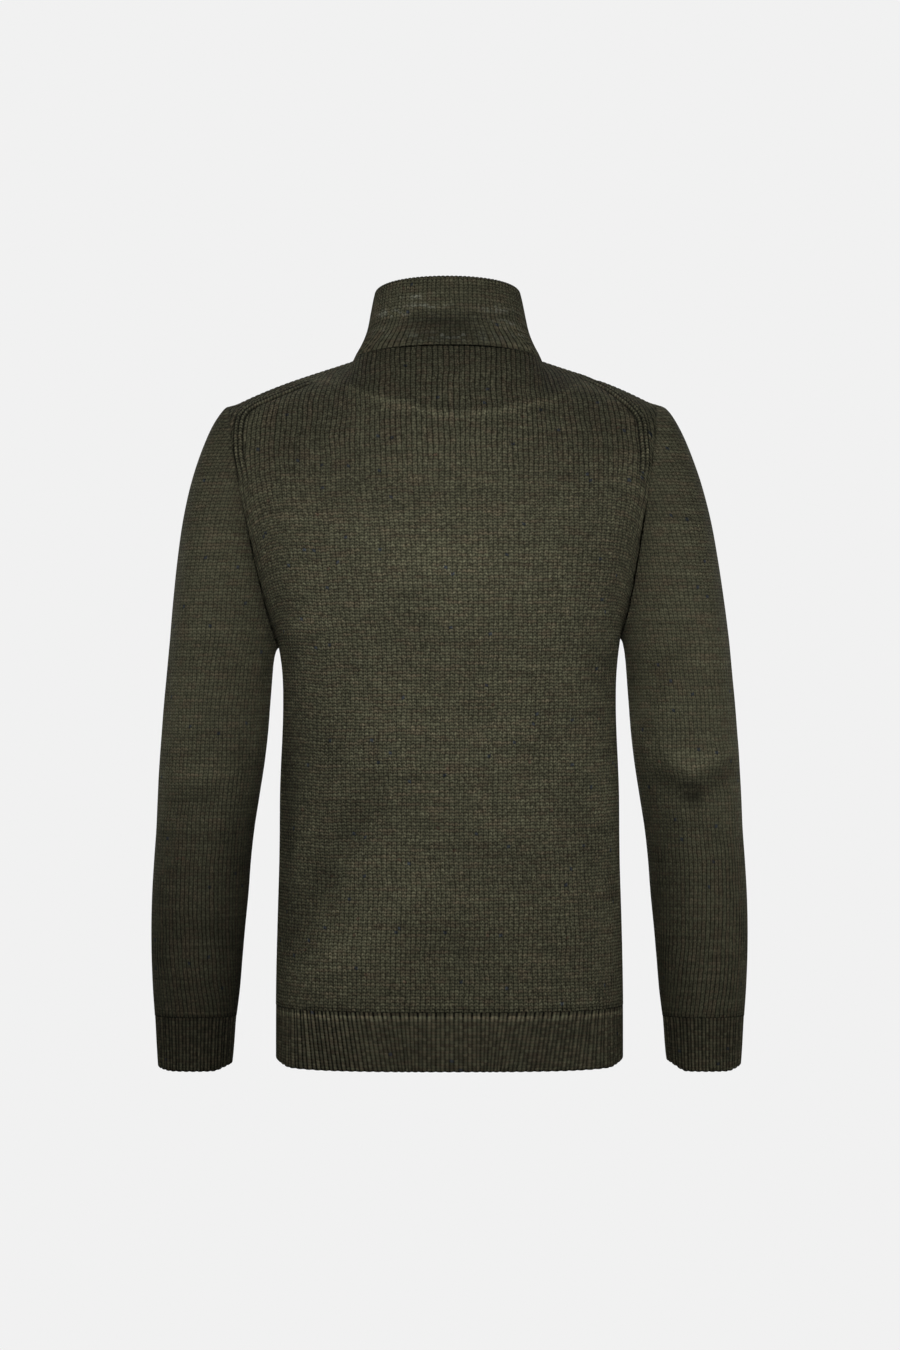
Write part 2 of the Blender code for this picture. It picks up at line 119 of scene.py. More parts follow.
# Folds in the body: soft troughs and, with a negative depth, ridges, between two points seen
# from behind.  `face` is the face they lie on.
BODY_FOLDS = table(
    "face  from_x   from_z  to_x    to_z    width  depth",
    (BACK, 0.070, -0.405, 0.125, -0.500, 0.020, 0.0048),
    (BACK, 0.125, -0.500, 0.158, -0.560, 0.018, 0.0050),
    (BACK, 0.084, -0.425, 0.108, -0.468, 0.010, 0.0016),
    (BACK, 0.152, -0.518, 0.142, -0.552, 0.009, 0.0018),
    (BACK, 0.136, -0.326, 0.126, -0.362, 0.011, 0.0022),
    (BACK, 0.006, -0.482, -0.070, -0.474, 0.018, 0.0030),
    (BACK, 0.030, -0.562, -0.040, -0.562, 0.014, 0.0020),
    (BACK, -0.030, -0.350, -0.085, -0.385, 0.017, 0.0036),
    (BACK, -0.120, -0.430, -0.150, -0.500, 0.018, 0.0026),
    (BACK, 0.120, -0.585, 0.018, -0.502, 0.013, -0.0024),
    (BACK, 0.080, -0.352, -0.080, -0.366, 0.011, -0.0022),
    (BACK, 0.060, -0.384, -0.020, -0.392, 0.010, -0.0014),
    (BACK, 0.043, -0.611, -0.039, -0.611, 0.007, -0.0014),
    (BACK, -0.186, -0.150, -0.163, -0.275, 0.013, 0.0024),
    (BACK, 0.187, -0.150, 0.165, -0.282, 0.013, 0.0026),
    (BACK, -0.110, -0.024, -0.060, -0.041, 0.006, -0.0016),
    (BACK, -0.060, -0.041, -0.006, -0.0483, 0.006, -0.0018),
    (BACK, -0.006, -0.0483, 0.037, -0.040, 0.006, -0.0018),
    (BACK, 0.037, -0.040, 0.105, -0.015, 0.006, -0.0016),
    (FRONT, -0.060, -0.400, -0.150, -0.540, 0.022, 0.0048),
    (FRONT, 0.030, -0.470, 0.110, -0.440, 0.020, 0.0034),
    (FRONT, 0.120, -0.560, 0.030, -0.500, 0.014, -0.0024),
    (FRONT, -0.090, -0.350, 0.060, -0.372, 0.012, -0.0020),
    (FRONT, -0.184, -0.160, -0.162, -0.275, 0.013, 0.0024),
    (FRONT, 0.185, -0.150, 0.165, -0.285, 0.013, 0.0026),
)

# Broad patches of painted light, and with a negative change of painted shade, on the hanging knit
BODY_PAINTED_LIGHT = table(
    "face  x       z      reach_x reach_z change",
    (BACK, 0.050, -0.018, 0.080, 0.022, -0.16),
    (BACK, 0.000, -0.054, 0.160, 0.020, -0.13),
    (BACK, 0.108, -0.018, 0.042, 0.024, -0.26),
    (BACK, -0.116, -0.018, 0.034, 0.024, -0.30),
    (BACK, -0.150, -0.062, 0.046, 0.040, -0.26),
    (BACK, 0.150, -0.062, 0.046, 0.040, -0.29),
    (BACK, 0.015, -0.186, 0.085, 0.034, 0.30),
    (BACK, 0.010, -0.272, 0.050, 0.022, -0.09),
    (BACK, -0.055, -0.352, 0.025, 0.018, 0.14),
    (BACK, 0.145, -0.400, 0.040, 0.110, -0.20),
    (BACK, 0.100, -0.575, 0.050, 0.045, 0.13),
    (BACK, -0.020, -0.570, 0.045, 0.050, -0.09),
    (BACK, -0.165, -0.480, 0.020, 0.080, 0.14),
    (BACK, -0.163, -0.312, 0.018, 0.060, -0.18),
    (BACK, 0.169, -0.420, 0.015, 0.150, -1.25),
    (FRONT, -0.020, -0.200, 0.090, 0.040, 0.16),
    (FRONT, -0.130, -0.420, 0.045, 0.100, -0.14),
    (FRONT, 0.060, -0.560, 0.060, 0.045, 0.10),
    (FRONT, 0.010, -0.330, 0.060, 0.025, -0.08),
)

# The knit itself
PANEL_COLUMNS = 540             # mesh columns across a panel
PANEL_MID_WALE = 50.0           # the number of the wale down a panel's middle
COLUMNS_INSIDE = 6              # mesh columns outside for each one inside
PANEL_ROWS = 99                 # mesh rows, up to the yoke
YOKE_ROWS = 51                  # finer mesh rows above that
YOKE_ROWS_FROM = PANEL_COURSES - 2.6
INNER_ROWS = 3                  # mesh rows outside for each one inside
COURSE = 0.0032                 # height of a course at the hem
COURSES_CLOSE_UP = 0.08         # how they shorten towards the shoulders
# The wales are wide where the shoulders spread them and narrow where the body hangs free.
WALE_WIDTH = table(
    "height    body     sleeve",
    (-0.650,   0.00482, 0.00380),
    (-0.520,   0.00474, 0.00400),
    (-0.400,   0.00466, 0.00435),
    (-0.280,   0.00474, 0.00440),
    (-0.150,   0.00508, 0.00445),
    (-0.050,   0.00528, 0.00450),
    (0.030,    0.00530, 0.00450),
)
WALE_GROOVE = 0.0007
LEG_GROOVE = 0.35               # share of that depth between a stitch's two legs
LEG_GROOVE_WIDTH = 0.12         # of a wale
BAND_WALE = 0.0047              # width of a wale in the shoulder band
BAND_OUTER_WALE = 1.5           # the middle of its outer wale, whose two grooves are at 1 and 2
BAND_MIDDLE = 2                 # the groove between its two wales
BAND_HALF_WIDTH = 0.95          # wales
BAND_OUTSIDE = (0.2, 0.7)       # wales over which the shade outside it fades
BAND_STARTS = (0.6, 0.9)        # and over which the band takes over from the knit
BAND_ENDS = (3.1, 3.4)          # and gives way to it again
BAND_RAISE = 0.0012
BAND_GROUND = 0.4               # share of the raise by which its ground lies below the knit
BAND_GROOVE = 0.0013
# Painted shade in the band's grooves and painted light on its raised chains, and painted shade just
# outside it
BAND_GROOVE_TONE = 0.26
BAND_CHAIN_TONE = 1.42
BAND_TONE_SHARPNESS = 2.2       # above 1, the groove's dark line is narrower than the groove
BAND_SLACK = 0.3                # how much looser its stitches are
OUTSIDE_BAND_TONE = 0.78
BAND_LOWEST = -0.108            # the band fades into the knit below this height
BAND_INNERMOST = 0.140          # and towards the neck
BAND_FADE = 0.020
# The middle of the band's outer wale on the back, from the armhole up and over to the neck
BAND_LINE = {
    RIGHT: np.array([
        (-0.1925, 0.0470, -0.1250), (-0.1958, 0.0440, -0.0947), (-0.1958, 0.0414, -0.0807),
        (-0.1946, 0.0391, -0.0687), (-0.1936, 0.0338, -0.0564), (-0.1914, 0.0296, -0.0482),
        (-0.1870, 0.0265, -0.0416), (-0.1794, 0.0210, -0.0336), (-0.1724, 0.0165, -0.0281),
        (-0.1589, 0.0080, -0.0171), (-0.1474, 0.0040, -0.0107), (-0.1270, 0.0000, -0.0010),
    ]),
    LEFT: np.array([
        (0.2032, 0.0466, -0.1225), (0.2108, 0.0416, -0.0886), (0.2120, 0.0352, -0.0684),
        (0.2112, 0.0316, -0.0562), (0.2090, 0.0255, -0.0468), (0.2035, 0.0200, -0.0396),
        (0.1916, 0.0165, -0.0317), (0.1757, 0.0140, -0.0258), (0.1589, 0.0122, -0.0186),
        (0.1461, 0.0104, -0.0129), (0.1200, 0.0060, -0.0040),
    ]),
}
LEVEL_SHARE = 0.6               # how much of a step forward or back counts in a distance from it
# Under this line the back hangs slack, and above it the collar pulls the knit tight.  Painted shade
# darkens the knit above it, where it turns up, and a painted highlight lies on one course under it.
YOKE_LINE = np.array([
    (0.1495, 0, 0.0000), (0.1137, 0, -0.0120), (0.0780, 0, -0.0272), (0.0366, 0, -0.0402),
    (-0.0064, 0, -0.0483), (-0.0494, 0, -0.0439), (-0.1003, 0, -0.0294), (-0.1247, 0, -0.0160),
    (-0.1500, 0, -0.0040),
])
# The painted shade above the yoke line, and the painted highlight on the course under it
YOKE_PAINTED_SHADE = 0.76
YOKE_BLEND = (-0.0015, 0.0035)  # above the line
YOKE_SIDES = (0.10, 0.15)       # it fades out towards the shoulders
YOKE_PAINTED_HIGHLIGHT = 0.32               # how much lighter the course under the line is
YOKE_HIGHLIGHT_BELOW = 0.0042
YOKE_HIGHLIGHT_WIDTH = 0.0022
UPPER_PULL = 0.95               # how tight the knit is drawn over the whole upper back
UPPER_PULL_HEIGHTS = (-0.15, -0.05)
NECK_PULL_HEIGHTS = (-0.060, -0.030)    # on the front only the neck is drawn tight
LOWER_PULL = 0.30               # and above the hem
LOWER_PULL_BELOW = (0.42, 0.56)
# Painted shade in the folds' troughs and painted light on their ridges
FOLD_TONE = 40.0                # how much a metre of depth would darken a fold
FOLD_TONES = (0.4, 1.3)         # the darkest trough and the lightest ridge
# Painted shade in the fold down the lower half of each armhole
ARMHOLE_TONE = 0.66             # in the fold down the lower half of each armhole
ARMHOLE_DARKENS = (0.10, 0.20)  # below the origin
ARMHOLE_CLEARS = (0.275, 0.330)
ARMHOLE_FOLD = 0.011
NECK_SOFTENING = 500            # rounds of smoothing across the corner at the neck point
NECK_SOFTENED = 0.018           # from this far below the seam
NECK_CORNER_REACH = 0.035
# Painted shade along each seam
SEAM_SHADE = 0.88
SEAM_SHADE_WIDTH = 0.0016
SEAM_SINK = 0.0006
SEAM_WIDTH = 0.0040


def bell(distance, width):
    """1 at no distance, falling away either side as e to the minus square does."""
    return np.exp(-((distance / width) ** 2))


def soft_step(value, low, high):
    """0 below low, 1 above high, and a smooth cubic between."""
    t = np.clip((value - low) / (high - low), 0, 1)
    return t * t * (3 - 2 * t)


def fade_out(value, low, high):
    """1 below low and 0 above high."""
    return 1 - soft_step(value, low, high)


def unit(vectors):
    """The same directions at length 1."""
    return vectors / np.linalg.norm(vectors, axis=-1, keepdims=True)


def smooth(at, knots, values):
    """Read values between their knots along a cubic with each knot's own slope."""
    slopes = np.gradient(values, knots, axis=0)
    left = np.clip(np.searchsorted(knots, at, side="right") - 1, 0, len(knots) - 2)
    span = knots[left + 1] - knots[left]
    shape = (-1,) + (1,) * (values.ndim - 1)
    t = ((at - knots[left]) / span).reshape(shape)
    span = span.reshape(shape)
    return (
        (1 + 2 * t) * (1 - t) ** 2 * values[left]
        + t * (1 - t) ** 2 * span * slopes[left]
        + t**2 * (3 - 2 * t) * values[left + 1]
        - t**2 * (1 - t) * span * slopes[left + 1]
    )


def even(points, count):
    """The same curve through `count` points that are evenly spaced along it."""
    steps = np.linalg.norm(np.diff(points, axis=0), axis=1)
    run = np.concatenate([[0.0], np.cumsum(steps)])
    at = np.linspace(0.0, run[-1], count)
    return np.stack([np.interp(at, run, points[:, axis]) for axis in range(3)], axis=1)


def read(curve, share):
    """A finely drawn, evenly spaced curve at shares of its length."""
    at = np.linspace(0.0, 1.0, len(curve))
    return np.stack([np.interp(share, at, curve[:, axis]) for axis in range(3)], axis=1)


def relax(points, share, rounds):
    """Move inner points towards the middle of their neighbours along the first axis."""
    relaxed = points.copy()
    for _ in range(rounds):
        middle = (relaxed[:-2] + relaxed[2:]) / 2
        relaxed[1:-1] += share * (middle - relaxed[1:-1])
    return relaxed


def half_oval(start, end, bulge, square, count):
    """From start to end, bowing out by the vector `bulge` along a squared half oval."""
    angle = np.linspace(0.0, np.pi, OVAL_POINTS)
    across = (1 - np.sign(np.cos(angle)) * abs(np.cos(angle)) ** (2 / square)) / 2
    bow = abs(np.sin(angle)) ** (2 / square)
    start, end, bulge = np.array([start, end, bulge])
    return even(start + np.outer(across, end - start) + np.outer(bow, bulge), count)


def torso_course(face, height, count=PANEL_WALES + 1):
    """One level course below the underarm, from the right side seam to the left one."""
    width, depth, square = (
        smooth(np.array([height]), TORSO["height"], TORSO[name])[0]
        for name in ("width", "back" if face == BACK else "front", "square")
    )
    return half_oval((-width, 0, height), (width, 0, height), (0, face * depth, 0), square, count)


def underarm_course(face):
    """The course at the underarm, a little higher on the right than on the left."""
    course = torso_course(face, TORSO["height"][-1])
    lift = (course[:, 0] / TORSO["width"][-1] + 1) / 2
    course[:, 2] = UNDERARM_HEIGHT[RIGHT] + lift * (UNDERARM_HEIGHT[LEFT] - UNDERARM_HEIGHT[RIGHT])
    return course


def armhole_edge(side, face, count=ARM_COURSES + 1):
    """Half of the armhole seam, from the underarm to the shoulder tip."""
    underarm = (side * TORSO["width"][-1], 0, UNDERARM_HEIGHT[side])
    tip = (side * TIP_X[side], 0, TIP_HEIGHT[side])
    bulge = (side * ARMHOLE_BOW, face * ARMHOLE_DEPTH, 0)
    return half_oval(underarm, tip, bulge, ARMHOLE_SQUARE, count)


def collar_ring(face, rise, count=NECK_WALES + 1):
    """The front or back half of a ring round the neck, from the right side to the left one."""
    name = "back" if face == BACK else "front"
    side, side_z, depth, middle_z = (
        smooth(np.array([rise]), COLLAR["rise"], COLLAR[column])[0]
        for column in ("side", "side_z", name, name + "_z")
    )
    bulge = (0, face * depth, middle_z - side_z)
    return half_oval((-side, 0, side_z), (side, 0, side_z), bulge, NECK_SQUARE, count)


def shoulder_seam(side, share):
    """Shares of the way from the neck point to the shoulder tip."""
    t = np.asarray(share)[:, None]
    neck = np.array([side * COLLAR["side"][0], 0, COLLAR["side_z"][0]])
    tip = np.array([side * TIP_X[side], 0, TIP_HEIGHT[side]])
    return neck + t * (tip - neck) + np.sin(np.pi * t**CROWN_LEAN) * [0, 0, SHOULDER_CROWN]


def coarse_panel(face):
    """A body panel's form, from the hem rib up to the shoulders and neck.

    Above the underarm it is a patch between the underarm course, the two armhole edges and
    the shoulders and neck seam.  What the edges bulge beyond their straight chords is carried
    across the patch, a share of it to the middle.
    """
    heights = np.linspace(HEM_SEAM_HEIGHT, TORSO["height"][-1], BODY_COURSES + 1)
    below = [torso_course(face, height) for height in heights[:-1]]

    bottom = underarm_course(face)
    share = np.linspace(0.0, 1.0, SHOULDER_WALES + 1)[1:]
    top = np.concatenate([
        shoulder_seam(RIGHT, share[::-1]), collar_ring(face, 0.0), shoulder_seam(LEFT, share),
    ])
    up = np.linspace(0.0, 1.0, ARM_COURSES + 1)[:, None, None]
    across = np.linspace(0.0, 1.0, PANEL_WALES + 1)[None, :, None]
    carried = 0.0
    for side, weight in ((RIGHT, 1 - across), (LEFT, across)):
        edge = armhole_edge(side, face)[:, None]
        carried = carried + weight * (edge - edge[:1] - up * (edge[-1:] - edge[:1]))
    in_from_edge = 4 * across * (1 - across)
    fullness = 1 - (1 - PANEL_FULLNESS[face]) * in_from_edge
    soft_top = relax(top, 0.5, TOP_RELAXING)
    sharp_top = up**NECK_CORNER_FADE * (top - soft_top)
    above = (1 - up) * bottom + up * soft_top + sharp_top + fullness * carried

    whole = np.concatenate([below, above])
    from_underarm = abs(np.arange(len(whole)) - BODY_COURSES) / (RELAXED_COURSES + 1)
    near_underarm = np.clip(1 - from_underarm, 0, 1)[1:-1, None, None]
    return relax(whole, 0.5 * near_underarm * in_from_edge, UNDERARM_RELAXING)


def refine(points, rows, columns):
    """A cubic surface through a coarse grid, read at fractional rows and columns."""
    up = smooth(rows, np.arange(len(points), dtype=float), points)
    across = smooth(columns, np.arange(points.shape[1], dtype=float), up.swapaxes(0, 1))
    return across.swapaxes(0, 1)


def fit_edge(grid, edge, seam, distance):
    """Bring one edge of a grid onto its seam, and what lies near it by a fading share.
    `edge` picks that edge, and `distance` is how far each row or column lies from it."""
    grid += bell(distance, SEAM_REACH) * (seam - grid[edge])


def sway(points):
    """Shift the shoulders and neck a little to the left, and leave the body below them."""
    heights = np.clip(points[..., 2], SWAY["height"][0], SWAY["height"][-1])
    moved = points.copy()
    shift = smooth(heights.ravel(), SWAY["height"], SWAY["shift"])
    moved[..., 0] += shift.reshape(heights.shape)
    return moved


def closed_round(grid):
    """A ring's grid with its first column again at the end."""
    return np.concatenate([grid, grid[:, :1]], axis=1)


def whole_ring(behind, before):
    """A closed ring of its back half and its front one, which both run the same way."""
    return np.concatenate([behind[:-1], before[:0:-1]])


def grid_normals(points, turn, closed=False):
    """Outward normals of a grid: its slope across crossed with its slope up."""
    if closed:
        wrapped = np.concatenate([points[:, -1:], points, points[:, :1]], axis=1)
        across = np.gradient(wrapped, axis=1)[:, 1:-1]
    else:
        across = np.gradient(points, axis=1)
    return turn * unit(np.cross(across, np.gradient(points, axis=0)))


def press(points, normals, folds):
    """Press soft troughs into a surface, each a bell across the line between its two points,
    fading where the surface turns away from the face it lies on.  Gives the depths too."""
    flat = points[..., [0, 2]]
    pressed = np.zeros(points.shape[:2])
    for face, x0, z0, x1, z1, width, depth in zip(*folds.values()):
        start, run = np.array([x0, z0]), np.array([x1 - x0, z1 - z0])
        along = np.clip((flat - start) @ run / (run @ run), 0, 1)[..., None]
        distance = np.linalg.norm(flat - start - along * run, axis=-1)
        facing = np.clip(face * normals[..., 1], 0, 1)
        pressed += facing * depth * bell(distance, width)
    return points - normals * pressed[..., None], pressed


def painted_patches(points, normals, swells):
    """How much lighter or darker each point is painted: ovals that fade out as bells do."""
    change = np.ones(points.shape[:2])
    for face, x, z, reach_x, reach_z, amount in zip(*swells.values()):
        away = ((points[..., 0] - x) / reach_x) ** 2 + ((points[..., 2] - z) / reach_z) ** 2
        change += np.clip(face * normals[..., 1], 0, 1) * amount * np.exp(-away)
    return change


def off_line(points, line, side, face, level_share):
    """How far each point lies inside a drawn line, and how far along the line it is: the
    nearest of its straight parts decides both.  The line is drawn for the back, and a
    step forward or back counts by `level_share`, at nothing as if seen level from behind."""
    scale = np.array([1.0, level_share, 1.0])
    flat = points * scale
    line = line * scale * [1.0, face, 1.0]
    nearest = np.full(flat.shape[:2], np.inf)
    inside, along, so_far = np.zeros(nearest.shape), np.zeros(nearest.shape), 0.0
    for start, end in zip(line[:-1], line[1:]):
        run = end - start
        share = np.clip((flat - start) @ run / (run @ run), 0, 1)
        away = flat - start - share[..., None] * run
        distance = np.linalg.norm(away, axis=-1)
        turn = np.sign(run[0] * away[..., 2] - run[2] * away[..., 0])
        closer = distance < nearest
        inside[closer] = (side * turn * distance)[closer]
        along[closer] = (so_far + share * np.linalg.norm(run))[closer]
        nearest = np.minimum(nearest, distance)
        so_far += np.linalg.norm(run)
    return inside, along


def run_up(points):
    """How far up its own column each point of a grid lies, along the surface."""
    steps = np.linalg.norm(np.diff(points, axis=0), axis=-1)
    return np.concatenate([np.zeros((1, points.shape[1])), np.cumsum(steps, axis=0)])


def wale_relief(wales):
    """How far the knit sinks across its wales: a full groove between two wales, a shallow one
    between a stitch's two legs, and nothing on the legs."""
    return abs(np.cos(np.pi * wales)) ** 4 + LEG_GROOVE * bell(wales % 1.0 - 0.5, LEG_GROOVE_WIDTH)


def seam_painted_shade(distance, width=SEAM_SHADE_WIDTH):
    """Painted shade in a narrow line beside a seam, a little darker than the knit."""
    return 1 - (1 - SEAM_SHADE) * bell(distance, width)


def armhole_shade(form, to_armhole):
    """The painted shade beside an armhole: dark along its lower half, and fading out above and away.
    """
    below = -form[..., 2]
    lower = soft_step(below, *ARMHOLE_DARKENS) * fade_out(below, *ARMHOLE_CLEARS)
    return 1 - (1 - ARMHOLE_TONE) * lower * bell(to_armhole, ARMHOLE_FOLD)


def rim(outer, inner, step, turned):
    """Faces between the edge of the outer grid and the coarser edge of the inner one, each
    over `step` outer spans and one inner span."""
    faces = []
    for k in range(len(inner) - 1):
        span = outer[k * step:(k + 1) * step + 1]
        face = [*span, inner[k + 1], inner[k]]
        faces.append(face[::-1] if turned else face)
    return faces


def keep_on_points(data, name, *grids):
    """Keep a number for each point on the mesh: its tone is 1 as the yarn is, less under painted
    shade and more under painted light, its pull is 1 where the knit is drawn tight across and 0
    where it hangs slack, and it is worn from 0 to 1 where it frays and takes a painted highlight."""
    values = np.concatenate([grid.ravel() for grid in grids]).astype(np.float32)
    data.attributes.new(name, "FLOAT", "POINT").data.foreach_set("value", values)


def keep_stitches(data, corners):
    """Keep the wale and course of each face corner as the mesh's own UV map."""
    layer = data.uv_layers.new(name="stitches")
    layer.uv.foreach_set("vector", corners.astype(np.float32).ravel())


def piece_of(name, data):
    """A mesh put into the scene as a piece, smooth over its faces."""
    data.shade_smooth()
    piece = bpy.data.objects.new(name, data)
    bpy.context.scene.collection.objects.link(piece)
    return piece


def wall_faces(outer, inner, turn, steps, closed):
    """Faces over both sides of a wall and round its edges.  `outer` and `inner` number the
    points of its two grids; a closed wall's last column already repeats its first."""
    quads = np.stack([outer[:-1, :-1], outer[:-1, 1:], outer[1:, 1:], outer[1:, :-1]], axis=-1)
    inner_quads = np.stack(
        [inner[:-1, :-1], inner[1:, :-1], inner[1:, 1:], inner[:-1, 1:]], axis=-1
    )
    faces = quads.reshape(-1, 4).tolist() + inner_quads.reshape(-1, 4).tolist()
    faces += rim(outer[0], inner[0], steps[1], True)
    faces += rim(outer[-1], inner[-1], steps[1], False)
    if not closed:
        faces += rim(outer[:, 0], inner[:, 0], steps[0], False)
        faces += rim(outer[:, -1], inner[:, -1], steps[0], True)
    return [face[::-1] for face in faces] if turn < 0 else faces


def numbered(rows, columns, first, closed):
    """Numbers for a grid's points, with the first column's again at the end if it closes."""
    numbers = first + np.arange(rows * columns).reshape(rows, columns)
    return closed_round(numbers) if closed else numbers


def knit_mesh(name, outer, inner, stitches, tones, turn, steps, closed=False, band=None, pull=None):
    """One closed wall.  `outer` is its fine outer grid and `inner` its coarse inner one, which
    has every steps[0]th row and steps[1]th column.  `stitches` holds each outer point's wale
    and course, kept as the mesh's own UV map, with one more column where a ring closes.
    Faces in `band` take its own stitches."""
    (rows, columns), (inner_rows, inner_columns) = outer.shape[:2], inner.shape[:2]
    faces = wall_faces(
        numbered(rows, columns, 0, closed),
        numbered(inner_rows, inner_columns, rows * columns, closed), turn, steps, closed,
    )
    points = np.concatenate([outer.reshape(-1, 3), inner.reshape(-1, 3)])
    data = bpy.data.meshes.new(name)
    data.from_pydata(points.tolist(), [], faces)
    keep_on_points(data, "tone", tones, tones[::steps[0], ::steps[1]])
    if pull is not None:
        keep_on_points(data, "pull", pull, pull[::steps[0], ::steps[1]])

    inner_stitches = stitches[::steps[0], ::steps[1]]
    values = np.concatenate([stitches.reshape(-1, 2), inner_stitches.reshape(-1, 2)])
    uv_faces = wall_faces(
        numbered(rows, stitches.shape[1], 0, False),
        numbered(*inner_stitches.shape[:2], stitches[..., 0].size, False), turn, steps, closed,
    )
    corners = np.concatenate([np.array(face) for face in uv_faces])
    uv = values[corners]
    if band is not None:
        quad_corners = 4 * band["faces"].size
        chosen = np.repeat(band["faces"].ravel(), 4)
        own = band["stitches"].reshape(-1, 2)
        uv[:quad_corners][chosen] = own[corners[:quad_corners][chosen]]
    keep_stitches(data, uv)
    return piece_of(name, data)


def fine_panel(face):
    """A panel's form with a mesh column for each part of a wale, fitted to all its seams."""
    columns = np.linspace(0, PANEL_WALES, PANEL_COLUMNS + 1)
    rows = np.concatenate([
        np.linspace(0, YOKE_ROWS_FROM, PANEL_ROWS + 1),
        np.linspace(YOKE_ROWS_FROM, PANEL_COURSES, YOKE_ROWS + 1)[1:],
    ])
    grid = refine(coarse_panel(face), rows, columns)

    fit_edge(
        grid, 0, read(torso_course(face, HEM_SEAM_HEIGHT, CURVE_POINTS), columns / PANEL_WALES),
        rows[:, None, None],
    )
    right_shoulder = columns < SHOULDER_WALES
    left_shoulder = columns > PANEL_WALES - SHOULDER_WALES
    neck = ~right_shoulder & ~left_shoulder
    top = np.concatenate([
        shoulder_seam(RIGHT, 1 - columns[right_shoulder] / SHOULDER_WALES),
        read(collar_ring(face, 0.0, CURVE_POINTS), (columns[neck] - SHOULDER_WALES) / NECK_WALES),
        shoulder_seam(LEFT, 1 - (PANEL_WALES - columns[left_shoulder]) / SHOULDER_WALES),
    ])
    fit_edge(grid, -1, top, (PANEL_COURSES - rows)[:, None, None])

    heights = np.linspace(HEM_SEAM_HEIGHT, TORSO["height"][-1], BODY_COURSES + 1)
    below = rows < BODY_COURSES
    for side, column, distance in (
        (RIGHT, 0, columns), (LEFT, -1, PANEL_WALES - columns),
    ):
        heights[-1] = UNDERARM_HEIGHT[side]
        height = np.interp(rows[below], np.arange(BODY_COURSES + 1), heights)
        width = smooth(np.minimum(height, TORSO["height"][-1]), TORSO["height"], TORSO["width"])
        side_seam = np.stack([side * width, 0 * height, height], axis=1)
        armhole = read(
            armhole_edge(side, face, CURVE_POINTS), (rows[~below] - BODY_COURSES) / ARM_COURSES
        )
        seam = np.concatenate([side_seam, armhole])[:, None]
        fit_edge(grid, (slice(None), [column]), seam, distance[None, :, None])
    return grid


def wales_across(form):
    """Which wale each point lies on, counted by their width from the middle of its row, and
    how far it lies from the row's nearer end."""
    across = run_up(form.swapaxes(0, 1)).T
    half = across[:, -1:] / 2
    height = np.clip(form[:, form.shape[1] // 2, 2], *WALE_WIDTH["height"][[0, -1]])
    width = smooth(height, WALE_WIDTH["height"], WALE_WIDTH["body"])
    return (across - half) / width[:, None] + PANEL_MID_WALE, half - abs(across - half)


def soften_neck(grid):
    """Round off the corner that runs down from each neck point, but not at the seam itself."""
    run = run_up(grid)
    under = soft_step(run[-1:] - run, 0, NECK_SOFTENED)
    near = bell(abs(grid[..., 0]) - COLLAR["side"][0], NECK_CORNER_REACH)
    share = 0.5 * (under * near).T[1:-1]
    grid[..., 1] = relax(grid[..., 1].T, share, NECK_SOFTENING).T


def shoulder_band(form, face):
    """The band of two raised wales between three grooves, which follows its drawn line.  Gives
    the band's own wale and course at each point, how far the point is within the line's reach,
    and how far it is in the band itself."""
    on_left = form[..., 0] > 0
    inside_left, along_left = off_line(form, BAND_LINE[LEFT], LEFT, face, LEVEL_SHARE)
    inside_right, along_right = off_line(form, BAND_LINE[RIGHT], RIGHT, face, LEVEL_SHARE)
    wales = np.where(on_left, inside_left, inside_right) / BAND_WALE + BAND_OUTER_WALE
    courses = np.where(on_left, along_left, along_right) / COURSE
    out = soft_step(abs(form[..., 0]), BAND_INNERMOST - BAND_FADE, BAND_INNERMOST + BAND_FADE)
    high = soft_step(form[..., 2], BAND_LOWEST - BAND_FADE, BAND_LOWEST + BAND_FADE)
    reach = out * high
    in_band = reach * soft_step(wales, *BAND_STARTS) * fade_out(wales, *BAND_ENDS)
    return wales, courses, reach, in_band


def tightness_and_yoke_shade(face, form, in_band):
    """How tight the knit is drawn across at each point, and the painted yoke shade.  On the back
    there is painted shade over the yoke line and a painted highlight on one course under it."""
    height = form[..., 2]
    middle = fade_out(abs(form[..., 0]), *YOKE_SIDES)
    if face == BACK:
        above, _ = off_line(form, YOKE_LINE, RIGHT, BACK, 0.0)
        pull = soft_step(above, *YOKE_BLEND) * middle
        highlight_course = (1 - in_band) * bell(above + YOKE_HIGHLIGHT_BELOW, YOKE_HIGHLIGHT_WIDTH)
        # painted shade over the yoke line and a painted highlight on the course under it
        tone = (1 - (1 - YOKE_PAINTED_SHADE) * pull) * (1 + YOKE_PAINTED_HIGHLIGHT * highlight_course)
        pull = np.maximum(pull, UPPER_PULL * soft_step(height, *UPPER_PULL_HEIGHTS))
    else:
        pull = soft_step(height, *NECK_PULL_HEIGHTS) * middle
        tone = 1.0
    pull = np.maximum(pull, LOWER_PULL * soft_step(-height, *LOWER_PULL_BELOW))
    return pull * (1 - in_band) - BAND_SLACK * in_band, tone


